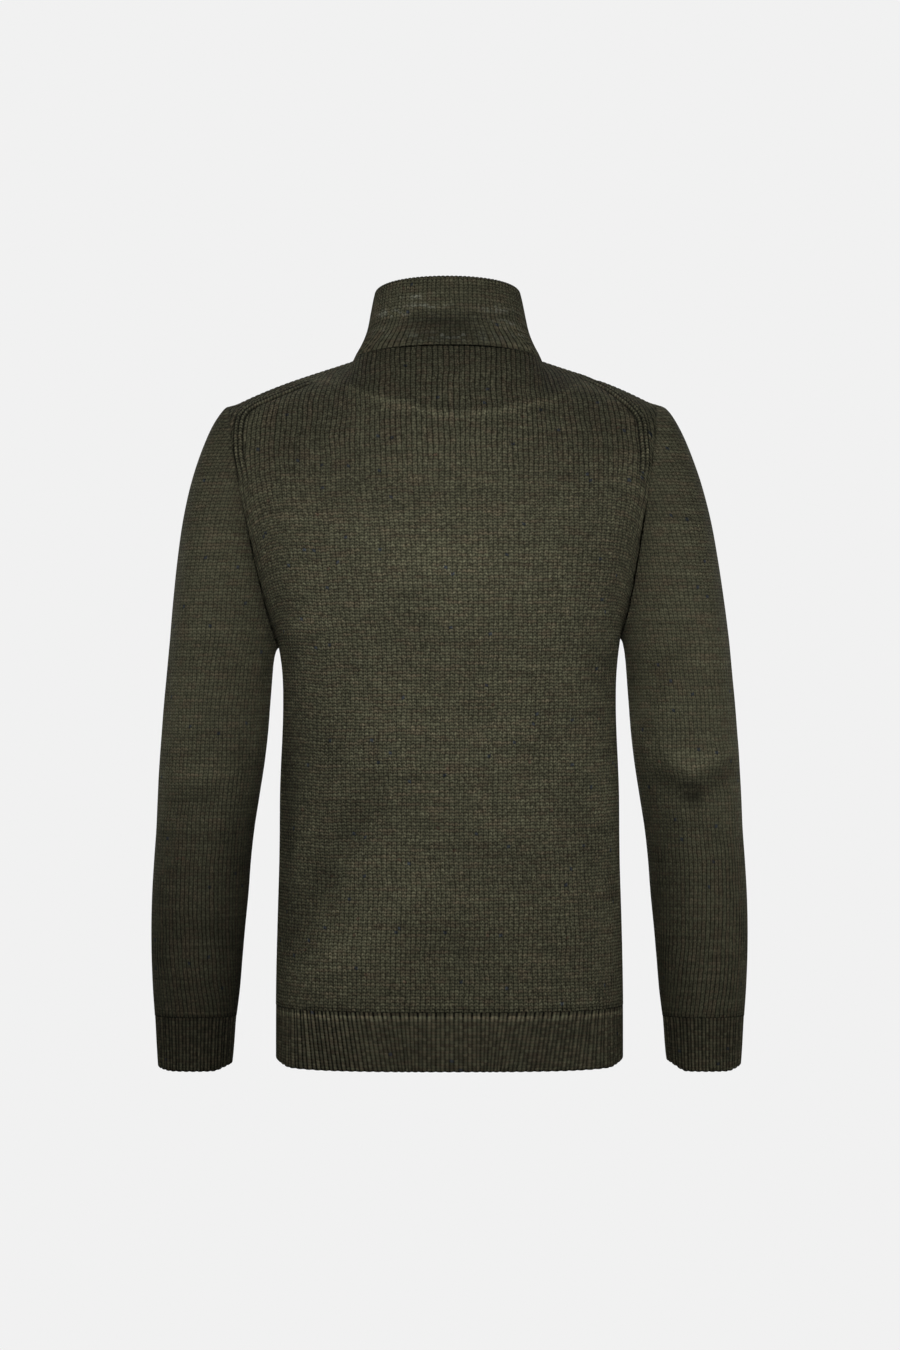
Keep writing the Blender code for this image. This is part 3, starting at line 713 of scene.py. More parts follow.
def body_panel(name, face, turn):
    """A finished panel: its form swayed and folded, with wales, band and seams in relief."""
    grid = fine_panel(face)
    soften_neck(grid)
    form = sway(grid)
    form, pressed = press(form, grid_normals(form, turn), BODY_FOLDS)
    normals = grid_normals(form, turn)
    wales, from_side = wales_across(form)
    run = run_up(form)
    from_top = run[-1:] - run
    courses = run / COURSE * (1 + COURSES_CLOSE_UP * run**2)
    band_wales, band_courses, reach, in_band = shoulder_band(form, face)
    groove = abs(np.cos(np.pi * band_wales))

    raised = np.exp(-(((band_wales - BAND_MIDDLE) / BAND_HALF_WIDTH) ** 4))
    band_relief = BAND_RAISE * (raised - BAND_GROUND) - BAND_GROOVE * groove**4
    relief = -WALE_GROOVE * wale_relief(wales)
    relief = relief + in_band * (band_relief - relief) - SEAM_SINK * bell(from_top, SEAM_WIDTH)
    outer = form + normals * relief[..., None]
    steps = (INNER_ROWS, COLUMNS_INSIDE)
    inner = (form - normals * KNIT_THICKNESS)[::steps[0], ::steps[1]]

    pull, yoke_shade_and_highlight = tightness_and_yoke_shade(face, form, in_band)
    # The panel's tones are painted light and shade: in and beside the band, along the seams and
    # armholes, in the folds, in broad patches and over the yoke
    outside = reach * fade_out(band_wales, *BAND_OUTSIDE)
    groove_share = groove**BAND_TONE_SHARPNESS
    band_tone = BAND_CHAIN_TONE + (BAND_GROOVE_TONE - BAND_CHAIN_TONE) * groove_share
    tones = (1 + in_band * (band_tone - 1)) * (1 - (1 - OUTSIDE_BAND_TONE) * outside)
    tones = tones * seam_painted_shade(np.minimum(from_top, from_side)) * armhole_shade(form, from_side)
    tones = tones * np.clip(1 - FOLD_TONE * pressed, *FOLD_TONES) * painted_patches(form, normals, BODY_PAINTED_LIGHT)
    tones = tones * yoke_shade_and_highlight

    centre = (band_wales[:-1, :-1] + band_wales[1:, 1:]) / 2
    band = {
        "faces": (abs(centre - BAND_MIDDLE) < 1) & (reach[:-1, :-1] > 0.5),
        "stitches": np.stack([band_wales, band_courses], axis=-1),
    }
    stitches = np.stack([wales, courses], axis=-1)
    return knit_mesh(name, outer, inner, stitches, tones, turn, steps, band=band, pull=pull)


back = body_panel("back_knit", BACK, -1)
front = body_panel("front_knit", FRONT, 1)


# ==== The yarn ====
# The finish of every piece: a roving of dark olive wool blended from greenish and brownish
# tufts with a few navy and rust flecks, knitted loosely in legs that lean together.

HEATHER_GREEN = (0.0935, 0.0915, 0.0570)
HEATHER_BROWN = (0.1020, 0.0875, 0.0560)
NAVY_FLECK = (0.0260, 0.0370, 0.0560)
RUST_FLECK = (0.1200, 0.0680, 0.0480)
FRAY_AND_HIGHLIGHT_FIBRE = (0.2100, 0.2200, 0.1800)   # pale frayed fibre and painted highlight on the collar's crease ridges
NAVY_SHARE = 0.0035             # of all stitches
RUST_SHARE = 0.0010
YARN_ROUGHNESS = 0.95
YARN_SHEEN = 0.12
STITCH_RELIEF = 0.0010          # depth of the relief in the finish
LOOSE_FIBRE = 0.2               # share of the relief that is fuzz
LEG_LEAN = 0.28                 # courses that a leg drops from an arch's top to its foot
PLAIN_LIGHT = 0.735             # how light the knit is against the yarn's own colour
GAP_SHARE = 0.45                # of the knit that the gaps between courses darken


class Strand:
    """A socket in a finish.  Arithmetic on it adds Math nodes to the finish."""

    def __init__(self, finish, socket):
        self.finish, self.socket = finish, socket

    def maths(self, operation, *values):
        """A Math node on these values, in their order."""
        names = ("Value", "Value_001", "Value_002")
        return self.finish.node(
            "ShaderNodeMath", {"operation": operation}, dict(zip(names, values))
        )

    def __add__(self, other):
        return self.maths("ADD", self, other)

    def __sub__(self, other):
        return self.maths("SUBTRACT", self, other)

    def __mul__(self, other):
        return self.maths("MULTIPLY", self, other)

    def __abs__(self):
        return self.maths("ABSOLUTE", self)

    def __rsub__(self, other):
        return self.maths("SUBTRACT", other, self)

    __radd__, __rmul__ = __add__, __mul__

    def fraction(self):
        """What it is over the whole number below it."""
        return self.maths("FRACT", self)

    def whole(self):
        """The whole number below it."""
        return self.maths("FLOOR", self)

    def above(self, threshold):
        """1 above the threshold and 0 elsewhere."""
        return self.maths("GREATER_THAN", self, threshold)


class Finish:
    """A material whose nodes are added by name."""

    def __init__(self, name):
        self.material = bpy.data.materials.new(name)
        self.material.use_nodes = True
        self.tree = self.material.node_tree
        self.shader = self.tree.nodes["Principled BSDF"]

    def node(self, kind, settings, values, output=0):
        """A node of that kind, with its settings set first and then its sockets, which take a
        plain value or another node's output."""
        node = self.tree.nodes.new(kind)
        for name, setting in settings.items():
            setattr(node, name, setting)
        self.fill(node, values)
        found = [s for s in node.outputs if s.identifier == output] or [node.outputs[output]]
        return Strand(self, found[0])

    def fill(self, node, values):
        """Set each named socket of a node to a plain value, or link a strand to it."""
        for name, value in values.items():
            socket = next(s for s in node.inputs if name in (s.identifier, s.name))
            if isinstance(value, Strand):
                self.tree.links.new(value.socket, socket)
            else:
                socket.default_value = value

    def mix(self, share, first, second):
        """From the first colour to the second by a share."""
        first, second = (
            colour if isinstance(colour, Strand) else (*colour, 1.0) for colour in (first, second)
        )
        return self.node(
            "ShaderNodeMix", {"data_type": "RGBA"},
            {"Factor_Float": share, "A_Color": first, "B_Color": second}, "Result_Color",
        )

    def shade(self, colour, factor):
        """A colour times a number."""
        return self.node(
            "ShaderNodeVectorMath", {"operation": "SCALE"}, {"Vector": colour, "Scale": factor}
        )

    def point(self, x, y, z):
        """A place made of three numbers."""
        return self.node("ShaderNodeCombineXYZ", {}, {"X": x, "Y": y, "Z": z})

    def noise(self, x, y, seed, detail=2.0):
        """Smooth noise from 0 to 1, mostly near the middle."""
        return self.node(
            "ShaderNodeTexNoise", {},
            {"Vector": self.point(x, y, seed), "Scale": 1.0, "Detail": detail},
        )

    def dice(self, x, y, seed):
        """One random number for each whole x and y."""
        place = self.point(x.whole(), y.whole(), seed)
        return self.node("ShaderNodeTexWhiteNoise", {"noise_dimensions": "3D"}, {"Vector": place})

    def ramp(self, value, low, high):
        """0 below low, 1 above high and smooth between."""
        return self.node(
            "ShaderNodeMapRange", {"interpolation_type": "SMOOTHSTEP"},
            {"Value": value, "From Min": low, "From Max": high},
        )

    def stitches(self):
        """The wale and course of each point, from the mesh's own map."""
        uv = self.node("ShaderNodeUVMap", {"uv_map": "stitches"}, {})
        split = self.node("ShaderNodeSeparateXYZ", {}, {"Vector": uv})
        return split, Strand(self, split.socket.node.outputs["Y"])

    def kept(self, name):
        """A number that the mesh keeps on its points."""
        return self.node("ShaderNodeAttribute", {"attribute_name": name}, {}, "Fac")

    def knit(self, colour, height, fibre):
        """The finished material: matt yarn over a relief of stitches and loose fibre."""
        relief = {"Strength": 1.0, "Distance": STITCH_RELIEF, "Height": height + fibre * LOOSE_FIBRE}
        self.fill(self.shader, {
            "Base Color": colour,
            "Roughness": YARN_ROUGHNESS,
            "Specular IOR Level": YARN_SHEEN,
            "Normal": self.node("ShaderNodeBump", {}, relief),
        })
        return self.material


def stockinette(name, seed, depth=1.0, ladder=0.48, first_course=0.0, uneven=1.0):
    """Plain knitting.  A wale is a column of arched stitches, whose two rows of legs meet at
    the top of each arch.  Painted shade makes it darkest in the groove between two wales,
    beaded at every course, and shows each course as a dark gap under its arches, until the
    knit is drawn tight across.  `depth` is how dark the grooves are, `ladder` how dark the gaps
    between courses are and `uneven` how much one stitch differs from the next.  A `first_course`
    above 0 makes the first courses over a seam lighter, and one below 0 makes their grooves darker."""
    finish = Finish(name)
    wale, course = finish.stitches()
    pull = finish.kept("pull")

    wobble = finish.noise(wale * 0.7, course * 0.5, seed) - 0.5
    wander = finish.noise(wale * 0.16, course * 0.07, seed + 4.0, 1.0) - 0.5
    place = wale + wobble * 0.14 + wander * 0.9
    out = abs(place.fraction() * 2 - 1)                       # 0 mid-wale, 1 between two wales
    climb = course + wobble * 0.7 + out * LEG_LEAN
    across_leg = abs(climb.fraction() * 2 - 1)                # 0 on a leg's ridge, 1 in the gap
    slack = 1 - pull * 0.45
    gap = finish.ramp(across_leg, 0.25, 0.95) * slack
    groove = finish.ramp(out, 0.58, 1.0)
    middle = finish.ramp(1 - out, 0.66, 1.0)
    height = 1 - groove * 0.6 - gap * 0.7 - middle * gap * 0.3

    each = finish.dice(place * 2, climb, seed) * uneven       # one number for each leg
    column = finish.dice(place, course * 0.02, seed + 2.2)    # for each wale, over 50 courses
    speck = finish.dice(place * 4, climb * 2, seed + 6.0)     # for each part of a leg
    fleck = finish.dice(wale * 1.5, climb, seed + 11.0)
    row = finish.noise(wale * 0.045, climb.whole() * 5.3, seed + 5.9, 1.0)
    tuft = finish.noise(wale * 0.22, climb.whole() * 3.1, seed + 3.1)
    fray = finish.noise(wale * 0.5, climb.whole() * 2.7, seed + 9.1, 3.0)
    cloud = finish.noise(wale * 0.06, course * 0.05, seed + 7.7)
    fibre = finish.noise(wale * 5.0, course * 3.5, seed + 1.3, 3.0)

    brown = finish.ramp(tuft + (column - 0.5) * pull * 0.25, 0.45, 0.70)
    colour = finish.mix(brown, HEATHER_GREEN, HEATHER_BROWN)
    colour = finish.mix(fleck.above(1 - NAVY_SHARE) * 0.75, colour, NAVY_FLECK)
    colour = finish.mix((1 - fleck).above(1 - RUST_SHARE) * 0.5, colour, RUST_FLECK)
    # Pale frayed fibre and painted highlight where a point is worn
    fray_and_highlight_share = finish.ramp(fray, 0.44, 0.60) * finish.kept("worn") * (each * 0.8 + 0.4)
    colour = finish.mix(fray_and_highlight_share, colour, FRAY_AND_HIGHLIGHT_FIBRE)

    light = (each * 0.46 + (1 - 0.23 * uneven)) * (cloud * 0.4 + 0.80) * (row * 0.7 + 0.65)
    light = light * (fibre * (0.9 * uneven) + (1 - 0.45 * uneven))
    light = light * (speck * (0.8 * uneven) + (1 - 0.4 * uneven))
    light = light * (PLAIN_LIGHT / (1 - GAP_SHARE * ladder))
    first = (1 - finish.ramp(course, 0.9, 2.0)) * first_course
    light = light * (1 + (first if first_course > 0 else first * groove))
    # open_to_light is painted shade in the grooves between wales and the gaps between courses
    open_to_light = (1 - groove * (gap * 0.20 + pull * 0.36 + 0.38) * depth) * (1 - gap * ladder)
    open_to_light = open_to_light * (1 - middle * gap * 0.30)
    shaded = finish.shade(colour, light * open_to_light * finish.kept("tone"))
    return finish.knit(shaded, height, fibre)


for panel, node, seed in ((back, "back", 0.0), (front, "front", 20.0)):
    panel.data.materials.append(stockinette(node + "_stockinette", seed, first_course=-0.25))
    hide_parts(node)
    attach(panel, "root")


# ==== The sleeves ====
# Two set-in tubes of the same stockinette, linked into the armholes, that narrow to the cuffs
# by decreases under the arm.  They hang a little forward and crumple at the elbows.

SLEEVE = table(
    "inner_x  inner_z  outer_x  outer_z  middle_y  depth  bow",
    (0.1698, -0.2720, 0.2090, -0.0345, 0.000, 0.048, 0.0060),
    (0.1721, -0.2750, 0.2230, -0.0420, 0.000, 0.051, 0.0070),
    (0.1732, -0.2777, 0.2370, -0.0680, 0.000, 0.054, 0.0075),
    (0.1740, -0.2806, 0.2510, -0.1050, -0.001, 0.056, 0.0075),
    (0.1747, -0.2840, 0.2624, -0.1510, -0.001, 0.058, 0.0070),
    (0.1753, -0.2880, 0.2706, -0.2020, -0.002, 0.058, 0.0060),
    (0.1760, -0.2935, 0.2770, -0.2540, -0.003, 0.058, 0.0050),
    (0.1770, -0.3050, 0.2817, -0.2980, -0.004, 0.057, 0.0035),
    (0.1790, -0.3300, 0.2855, -0.3340, -0.005, 0.056, 0.0020),
    (0.1826, -0.3720, 0.2888, -0.3720, -0.008, 0.054, 0.0010),
    (0.1881, -0.4110, 0.2920, -0.4110, -0.012, 0.052, 0.0000),
    (0.1948, -0.4510, 0.2938, -0.4510, -0.015, 0.050, 0.0000),
    (0.1995, -0.4910, 0.2968, -0.4910, -0.018, 0.047, 0.0000),
    (0.2028, -0.5320, 0.2994, -0.5320, -0.022, 0.043, 0.0000),
    (0.2072, -0.5730, 0.3003, -0.5730, -0.026, 0.040, 0.0000),
    (0.2104, -0.6130, 0.2995, -0.6130, -0.030, 0.036, 0.0000),
    (0.2148, -0.6482, 0.2975, -0.6482, -0.034, 0.032, 0.0000),
    (0.2170, -0.6760, 0.2962, -0.6760, -0.036, 0.030, 0.0000),
    (0.2192, -0.7033, 0.2948, -0.7033, -0.038, 0.030, 0.0000),
)
SLEEVE_SQUARE = 2.2
FAN_ROWS = 8                    # the sections that fan out from the underarm
CUFF_ROWS = 2                   # the last spans of SLEEVE are the cuff's
SLEEVE_RINGS = 21               # coarse rings, from the armhole to the cuff
SLEEVE_COLUMNS = 480            # mesh columns all round
SLEEVE_MESH_ROWS = 120
SLEEVE_MID_WALE = 60.0          # the number of the wale down its outer side
SLEEVE_COURSE = 0.0032
SLEEVE_GROOVE = 0.0005
SLEEVE_GROOVE_BELOW = (0.24, 0.31)      # the wales stand out from the underarm down
# How tight it is drawn over the upper arm, elbow and wrist
SLEEVE_PULL = table("below pull", (0.20, 0.2), (0.40, 0.5), (0.56, 1.5))
# Painted light and shade by height down the sleeves: darker towards the cuffs, the left one the more.
SLEEVE_SHADE = table(
    "height    left   right",
    (-0.710,   0.78,  1.22),
    (-0.640,   0.59,  0.82),
    (-0.520,   0.65,  0.84),
    (-0.430,   0.79,  0.98),
    (-0.340,   0.90,  1.06),
    (-0.250,   0.86,  0.98),
)
# Painted shade on the side that faces the body and painted light on the side that faces out
TOWARDS_BODY = 0.42             # how much darker the side that faces the body is
TOWARDS_BELOW = (0.36, 0.46)    # from the elbow down
AWAY = 0.22                     # how much lighter the side that faces out is
AWAY_BELOW = (0.03, 0.10)
WRIST_TURN = 1.8                # above 1, that side is the darker again at the wrist
WRIST_BELOW = (0.42, 0.56)
# Painted shade in the sleeves' fold troughs and painted light on their ridges
SLEEVE_FOLD_TONE = 75.0
SLEEVE_FOLD_TONES = (0.4, 1.35)
SLEEVE_FOLDS = table(
    "face  from_x   from_z  to_x    to_z    width  depth",
    (BACK, -0.205, -0.408, -0.238, -0.424, 0.011, 0.0055),
    (BACK, -0.238, -0.424, -0.280, -0.404, 0.011, 0.0050),
    (BACK, -0.200, -0.374, -0.240, -0.397, 0.010, -0.0045),
    (BACK, -0.240, -0.397, -0.280, -0.378, 0.010, -0.0035),
    (BACK, -0.192, -0.352, -0.208, -0.385, 0.007, 0.0030),
    (BACK, -0.215, -0.455, -0.265, -0.462, 0.012, 0.0018),
    (BACK, -0.205, -0.300, -0.235, -0.270, 0.012, 0.0016),
    (BACK, 0.235, -0.428, 0.272, -0.432, 0.012, 0.0030),
    (BACK, 0.215, -0.400, 0.250, -0.402, 0.009, -0.0016),
    (BACK, 0.210, -0.300, 0.240, -0.272, 0.012, 0.0016),
    (BACK, 0.226, -0.560, 0.280, -0.566, 0.012, 0.0016),
    (FRONT, 0.205, -0.415, 0.275, -0.395, 0.014, 0.0040),
    (FRONT, -0.210, -0.400, -0.270, -0.420, 0.014, 0.0040),
)


def sleeve_sections(side, at):
    """Sections of a sleeve at fractional rows of SLEEVE, set to its own underarm's height."""
    sections = np.arange(len(SLEEVE["depth"]), dtype=float)
    inner_x, inner_z, outer_x, outer_z, middle_y, depth, bow = (
        smooth(at, sections, column) for column in SLEEVE.values()
    )
    own_underarm = UNDERARM_HEIGHT[side] - TORSO["height"][-1]
    inner_z = inner_z + own_underarm * np.clip(1 - at / FAN_ROWS, 0, 1)
    return zip(inner_x, inner_z, outer_x, outer_z, middle_y, depth, bow)


def sleeve_ring(side, section, count):
    """A closed ring of 2 * count points, from a section's inner point round the back to its
    outer point and round the front again."""
    inner_x, inner_z, outer_x, outer_z, middle_y, depth, bow = section
    inner = (side * inner_x, middle_y, inner_z)
    outer = (side * outer_x, middle_y, outer_z)
    behind, before = (
        half_oval(inner, outer, (side * bow, face * depth, 0), SLEEVE_SQUARE, count + 1)
        for face in (BACK, FRONT)
    )
    return whole_ring(behind, before)


def armhole_ring(side, count):
    """The armhole seam as a closed ring of 2 * count points, ordered as sleeve_ring is."""
    return whole_ring(*(armhole_edge(side, face, count + 1) for face in (BACK, FRONT)))


def sleeve_form(side):
    """A sleeve's rings from the cuff seam up to the armhole, each with a point for every mesh
    column.  Rings are read between the coarse ones along the same cubic."""
    count = SLEEVE_COLUMNS // 2
    last = len(SLEEVE["depth"]) - 1 - CUFF_ROWS
    at = np.linspace(0.0, last, SLEEVE_RINGS)[1:]
    rings = [sleeve_ring(side, section, count) for section in sleeve_sections(side, at)]
    coarse = np.concatenate([[armhole_ring(side, count)], rings])
    knots = np.arange(len(coarse), dtype=float)
    return smooth(np.linspace(knots[-1], 0, SLEEVE_MESH_ROWS + 1), knots, coarse)


def sleeve_stitches(side, form):
    """The wale and course of each point.  Wales run down the sleeve, counted by their width
    round an oval from its outer side, and courses lie level, counted up from the cuff."""
    below = -form[..., 2]
    outer_x = np.interp(below, -SLEEVE["outer_z"], SLEEVE["outer_x"])
    heights = -SLEEVE["outer_z"][FAN_ROWS:]
    widths = (SLEEVE["outer_x"] - SLEEVE["inner_x"])[FAN_ROWS:]
    half = np.interp(below, heights, widths / 2)
    depth = np.interp(below, heights, SLEEVE["depth"][FAN_ROWS:])
    forward = form[..., 1] - np.interp(below, -SLEEVE["outer_z"], SLEEVE["middle_y"])
    angle = np.arctan2(abs(forward) / depth, (side * form[..., 0] - outer_x) / half + 1)
    around = angle * (half + depth) / 2
    width = np.interp(form[..., 2], WALE_WIDTH["height"], WALE_WIDTH["sleeve"])
    behind = np.arange(form.shape[1]) <= form.shape[1] // 2
    wales = np.where(behind, around, -around) / width + SLEEVE_MID_WALE
    return np.stack([wales, (form[..., 2] - form[:1, :, 2]) / SLEEVE_COURSE], axis=-1)


def hanging_shade(form, normals, side):
    """How much of its tone a sleeve or cuff keeps under painted light and shade: by its height, then
    less where it faces the body, from the elbow down, and more where it faces out, except towards the
    wrist."""
    own = SLEEVE_SHADE["left" if side == LEFT else "right"]
    below, outward = -form[..., 2], side * normals[..., 0]
    towards = TOWARDS_BODY * soft_step(below, *TOWARDS_BELOW) * np.clip(-outward, 0, 1)
    away = AWAY * (soft_step(below, *AWAY_BELOW) - WRIST_TURN * soft_step(below, *WRIST_BELOW))
    by_side = 1 - towards + away * np.clip(outward, 0, 1)
    return np.interp(form[..., 2], SLEEVE_SHADE["height"], own) * by_side


def sleeve(name, side):
    """A finished sleeve.  Its rings run up from the cuff, so its faces turn with -side."""
    turn = -side
    form = sleeve_form(side)
    stitches = sleeve_stitches(side, closed_round(form))
    form = sway(form)
    form, pressed = press(form, grid_normals(form, turn, True), SLEEVE_FOLDS)
    normals = grid_normals(form, turn, True)

    below = -form[..., 2]
    grooved = SLEEVE_GROOVE * soft_step(below, *SLEEVE_GROOVE_BELOW)
    relief = -grooved * wale_relief(stitches[:, :-1, 0])
    outer = form + normals * relief[..., None]
    steps = (INNER_ROWS, COLUMNS_INSIDE)
    inner = (form - normals * KNIT_THICKNESS)[::steps[0], ::steps[1]]
    run = run_up(form)
    from_armhole = run[-1:] - run
    # Painted shade along the armhole seam and in the folds, painted light on the fold ridges, and
    # painted light and shade by height and side
    tones = seam_painted_shade(from_armhole) * armhole_shade(form, from_armhole)
    tones = tones * np.clip(1 - SLEEVE_FOLD_TONE * pressed, *SLEEVE_FOLD_TONES)
    tones = tones * hanging_shade(form, normals, side)
    pull = np.interp(below, SLEEVE_PULL["below"], SLEEVE_PULL["pull"])
    return knit_mesh(name, outer, inner, stitches, tones, turn, steps, closed=True, pull=pull)


for node, side, seed in (("sleeve_left", LEFT, 40.0), ("sleeve_right", RIGHT, 60.0)):
    tube = sleeve(node + "_knit", side)
    tube.data.materials.append(stockinette(node + "_stockinette", seed, 0.80, 0.40, uneven=0.65))
    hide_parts(node)
    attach(tube, "root")


# ==== The collar ====
# A high funnel of stockinette, knitted double: it goes up outside, turns over the top edge and
# is linked down inside the neck seam.  Standing up, it sags into a few level creases.

COLLAR_THICKNESS = 0.005
COLLAR_WALES = 102              # all round
COLUMNS_A_WALE = 6              # mesh columns
COLLAR_SPREAD = 0.11            # how much wider its wales are at the back of the neck seam
COLLAR_SPREAD_TO = 0.5          # the rise at which they are even again
COLLAR_FAN = 2.5                # above 0, the wales fan out more towards the sides
COLLAR_FAN_ENDS = (0.40, 0.62)  # between the middle of the back at 0 and of the front at 1
COLLAR_ROWS = 60                # mesh rows on each face
COLLAR_TURN_ROWS = 6            # over the top edge
COLLAR_COARSE_RINGS = 8
COLLAR_TURN_FROM = 0.22         # coarse rings under the top, where the edge starts to turn
COLLAR_GROOVE = 0.0008
COLLAR_COURSE = 0.0030
COLLAR_SEAM_SHADE_WIDTH = 0.0010
# Painted shade in the collar's fold troughs and painted light on its ridges
COLLAR_FOLD_TONE = 190.0
COLLAR_FOLD_TONES = (0.6, 1.35)
# Painted shade along the turned top edge
COLLAR_EDGE_TONE = 0.62
COLLAR_EDGE_ROWS = 2.5          # mesh rows that this darkens either side of the turn
COLLAR_PULL = 0.30              # how tight it is drawn at the top edge
COLLAR_BASE_PULL = 0.20         # and how much more at the neck seam
COLLAR_SIDE_PULL = 1.1          # and beside its middle
COLLAR_SIDES = (0.025, 0.060)
COLLAR_PULL_ENDS = (0.17, 0.62) # rises between which the pull at the seam fades
COLLAR_FOLDS = table(
    "face  from_x   from_z  to_x    to_z    width  depth",
    (BACK, 0.078, 0.054, 0.044, 0.052, 0.0045, -0.0012),
    (BACK, 0.044, 0.067, 0.028, 0.067, 0.0040, -0.0012),
    (BACK, 0.040, 0.058, 0.003, 0.058, 0.0045, -0.0014),
    (BACK, -0.040, 0.055, -0.060, 0.056, 0.0045, -0.0014),
    (BACK, -0.050, 0.043, -0.076, 0.043, 0.0045, -0.0012),
    (BACK, 0.034, 0.044, -0.016, 0.042, 0.0080, 0.0016),
    (FRONT, 0.060, 0.030, 0.010, 0.020, 0.0050, -0.0014),
    (FRONT, -0.010, 0.034, -0.055, 0.030, 0.0050, -0.0012),
    (FRONT, 0.030, 0.004, -0.030, 0.000, 0.0070, 0.0016),
)

# Patches of the collar with pale frayed fibre and painted highlight along its creases, seen from
# behind, and how far each reaches
COLLAR_FRAY_AND_HIGHLIGHT = table(
    "face  x       z      reach_x reach_z change",
    (BACK, 0.060, 0.052, 0.022, 0.0035, 1.0),
    (BACK, 0.035, 0.067, 0.014, 0.0022, 0.7),
    (BACK, 0.022, 0.058, 0.022, 0.0022, 0.7),
    (BACK, -0.050, 0.055, 0.016, 0.0028, 0.9),
    (BACK, -0.062, 0.043, 0.018, 0.0022, 1.0),
    (BACK, 0.075, 0.036, 0.012, 0.0030, 0.7),
    (BACK, -0.070, 0.034, 0.012, 0.0040, 0.6),
    (BACK, 0.000, 0.0285, 0.060, 0.0035, 0.8),
    (BACK, 0.000, 0.045, 0.090, 0.0200, 0.12),
    (FRONT, 0.040, 0.026, 0.026, 0.0030, 0.9),
    (FRONT, -0.030, 0.032, 0.024, 0.0026, 0.8),
    (FRONT, 0.000, 0.000, 0.050, 0.0035, 0.6),
)

# Its lower middle sinks in a little and takes painted shade, with a faint painted light above it on
# the back.
COLLAR_PAINTED_SHADE = table(
    "face  x       z      reach_x reach_z change",
    (BACK, 0.000, 0.038, 0.064, 0.022, -0.36),
    (BACK, 0.000, 0.060, 0.110, 0.080, 0.03),
    (BACK, 0.000, 0.023, 0.110, 0.012, -0.26),
    (FRONT, 0.000, 0.005, 0.060, 0.022, -0.22),
)


def collar_form():
    """The collar's outer face, rings from the neck seam up to the start of the turned edge."""
    count = COLLAR_WALES * COLUMNS_A_WALE // 2
    rings = np.array([
        whole_ring(*(collar_ring(face, rise, count + 1) for face in (BACK, FRONT)))
        for rise in np.linspace(0.0, 1.0, COLLAR_COARSE_RINGS)
    ])
    knots = np.arange(COLLAR_COARSE_RINGS, dtype=float)
    return smooth(np.linspace(0, knots[-1] - COLLAR_TURN_FROM, COLLAR_ROWS), knots, rings)


def collar_stitches(run, risen):
    """The wale and course of each point, with one more row and column where the wall closes.
    The wales count round from the right side, and at the neck seam they fan out from the
    middle of the back."""
    columns = run.shape[1]
    from_back = np.arange(columns + 1) / columns * 2 - 0.5    # 0 mid-back, 1 mid-front
    from_back = np.where(from_back > 1, from_back - 2, from_back)
    fan = from_back * (1 + COLLAR_FAN * abs(from_back))
    fan = fan * fade_out(abs(from_back), *COLLAR_FAN_ENDS) * COLLAR_WALES / 2
    risen = closed_round(np.concatenate([risen, risen[-1:]]))
    spread = COLLAR_SPREAD * fade_out(risen, 0, COLLAR_SPREAD_TO)
    wales = np.arange(columns + 1) / COLUMNS_A_WALE - spread * fan
    courses = np.concatenate([run, run[-1:] + COLLAR_THICKNESS]) / COLLAR_COURSE
    return np.stack([wales, closed_round(courses)], axis=-1)


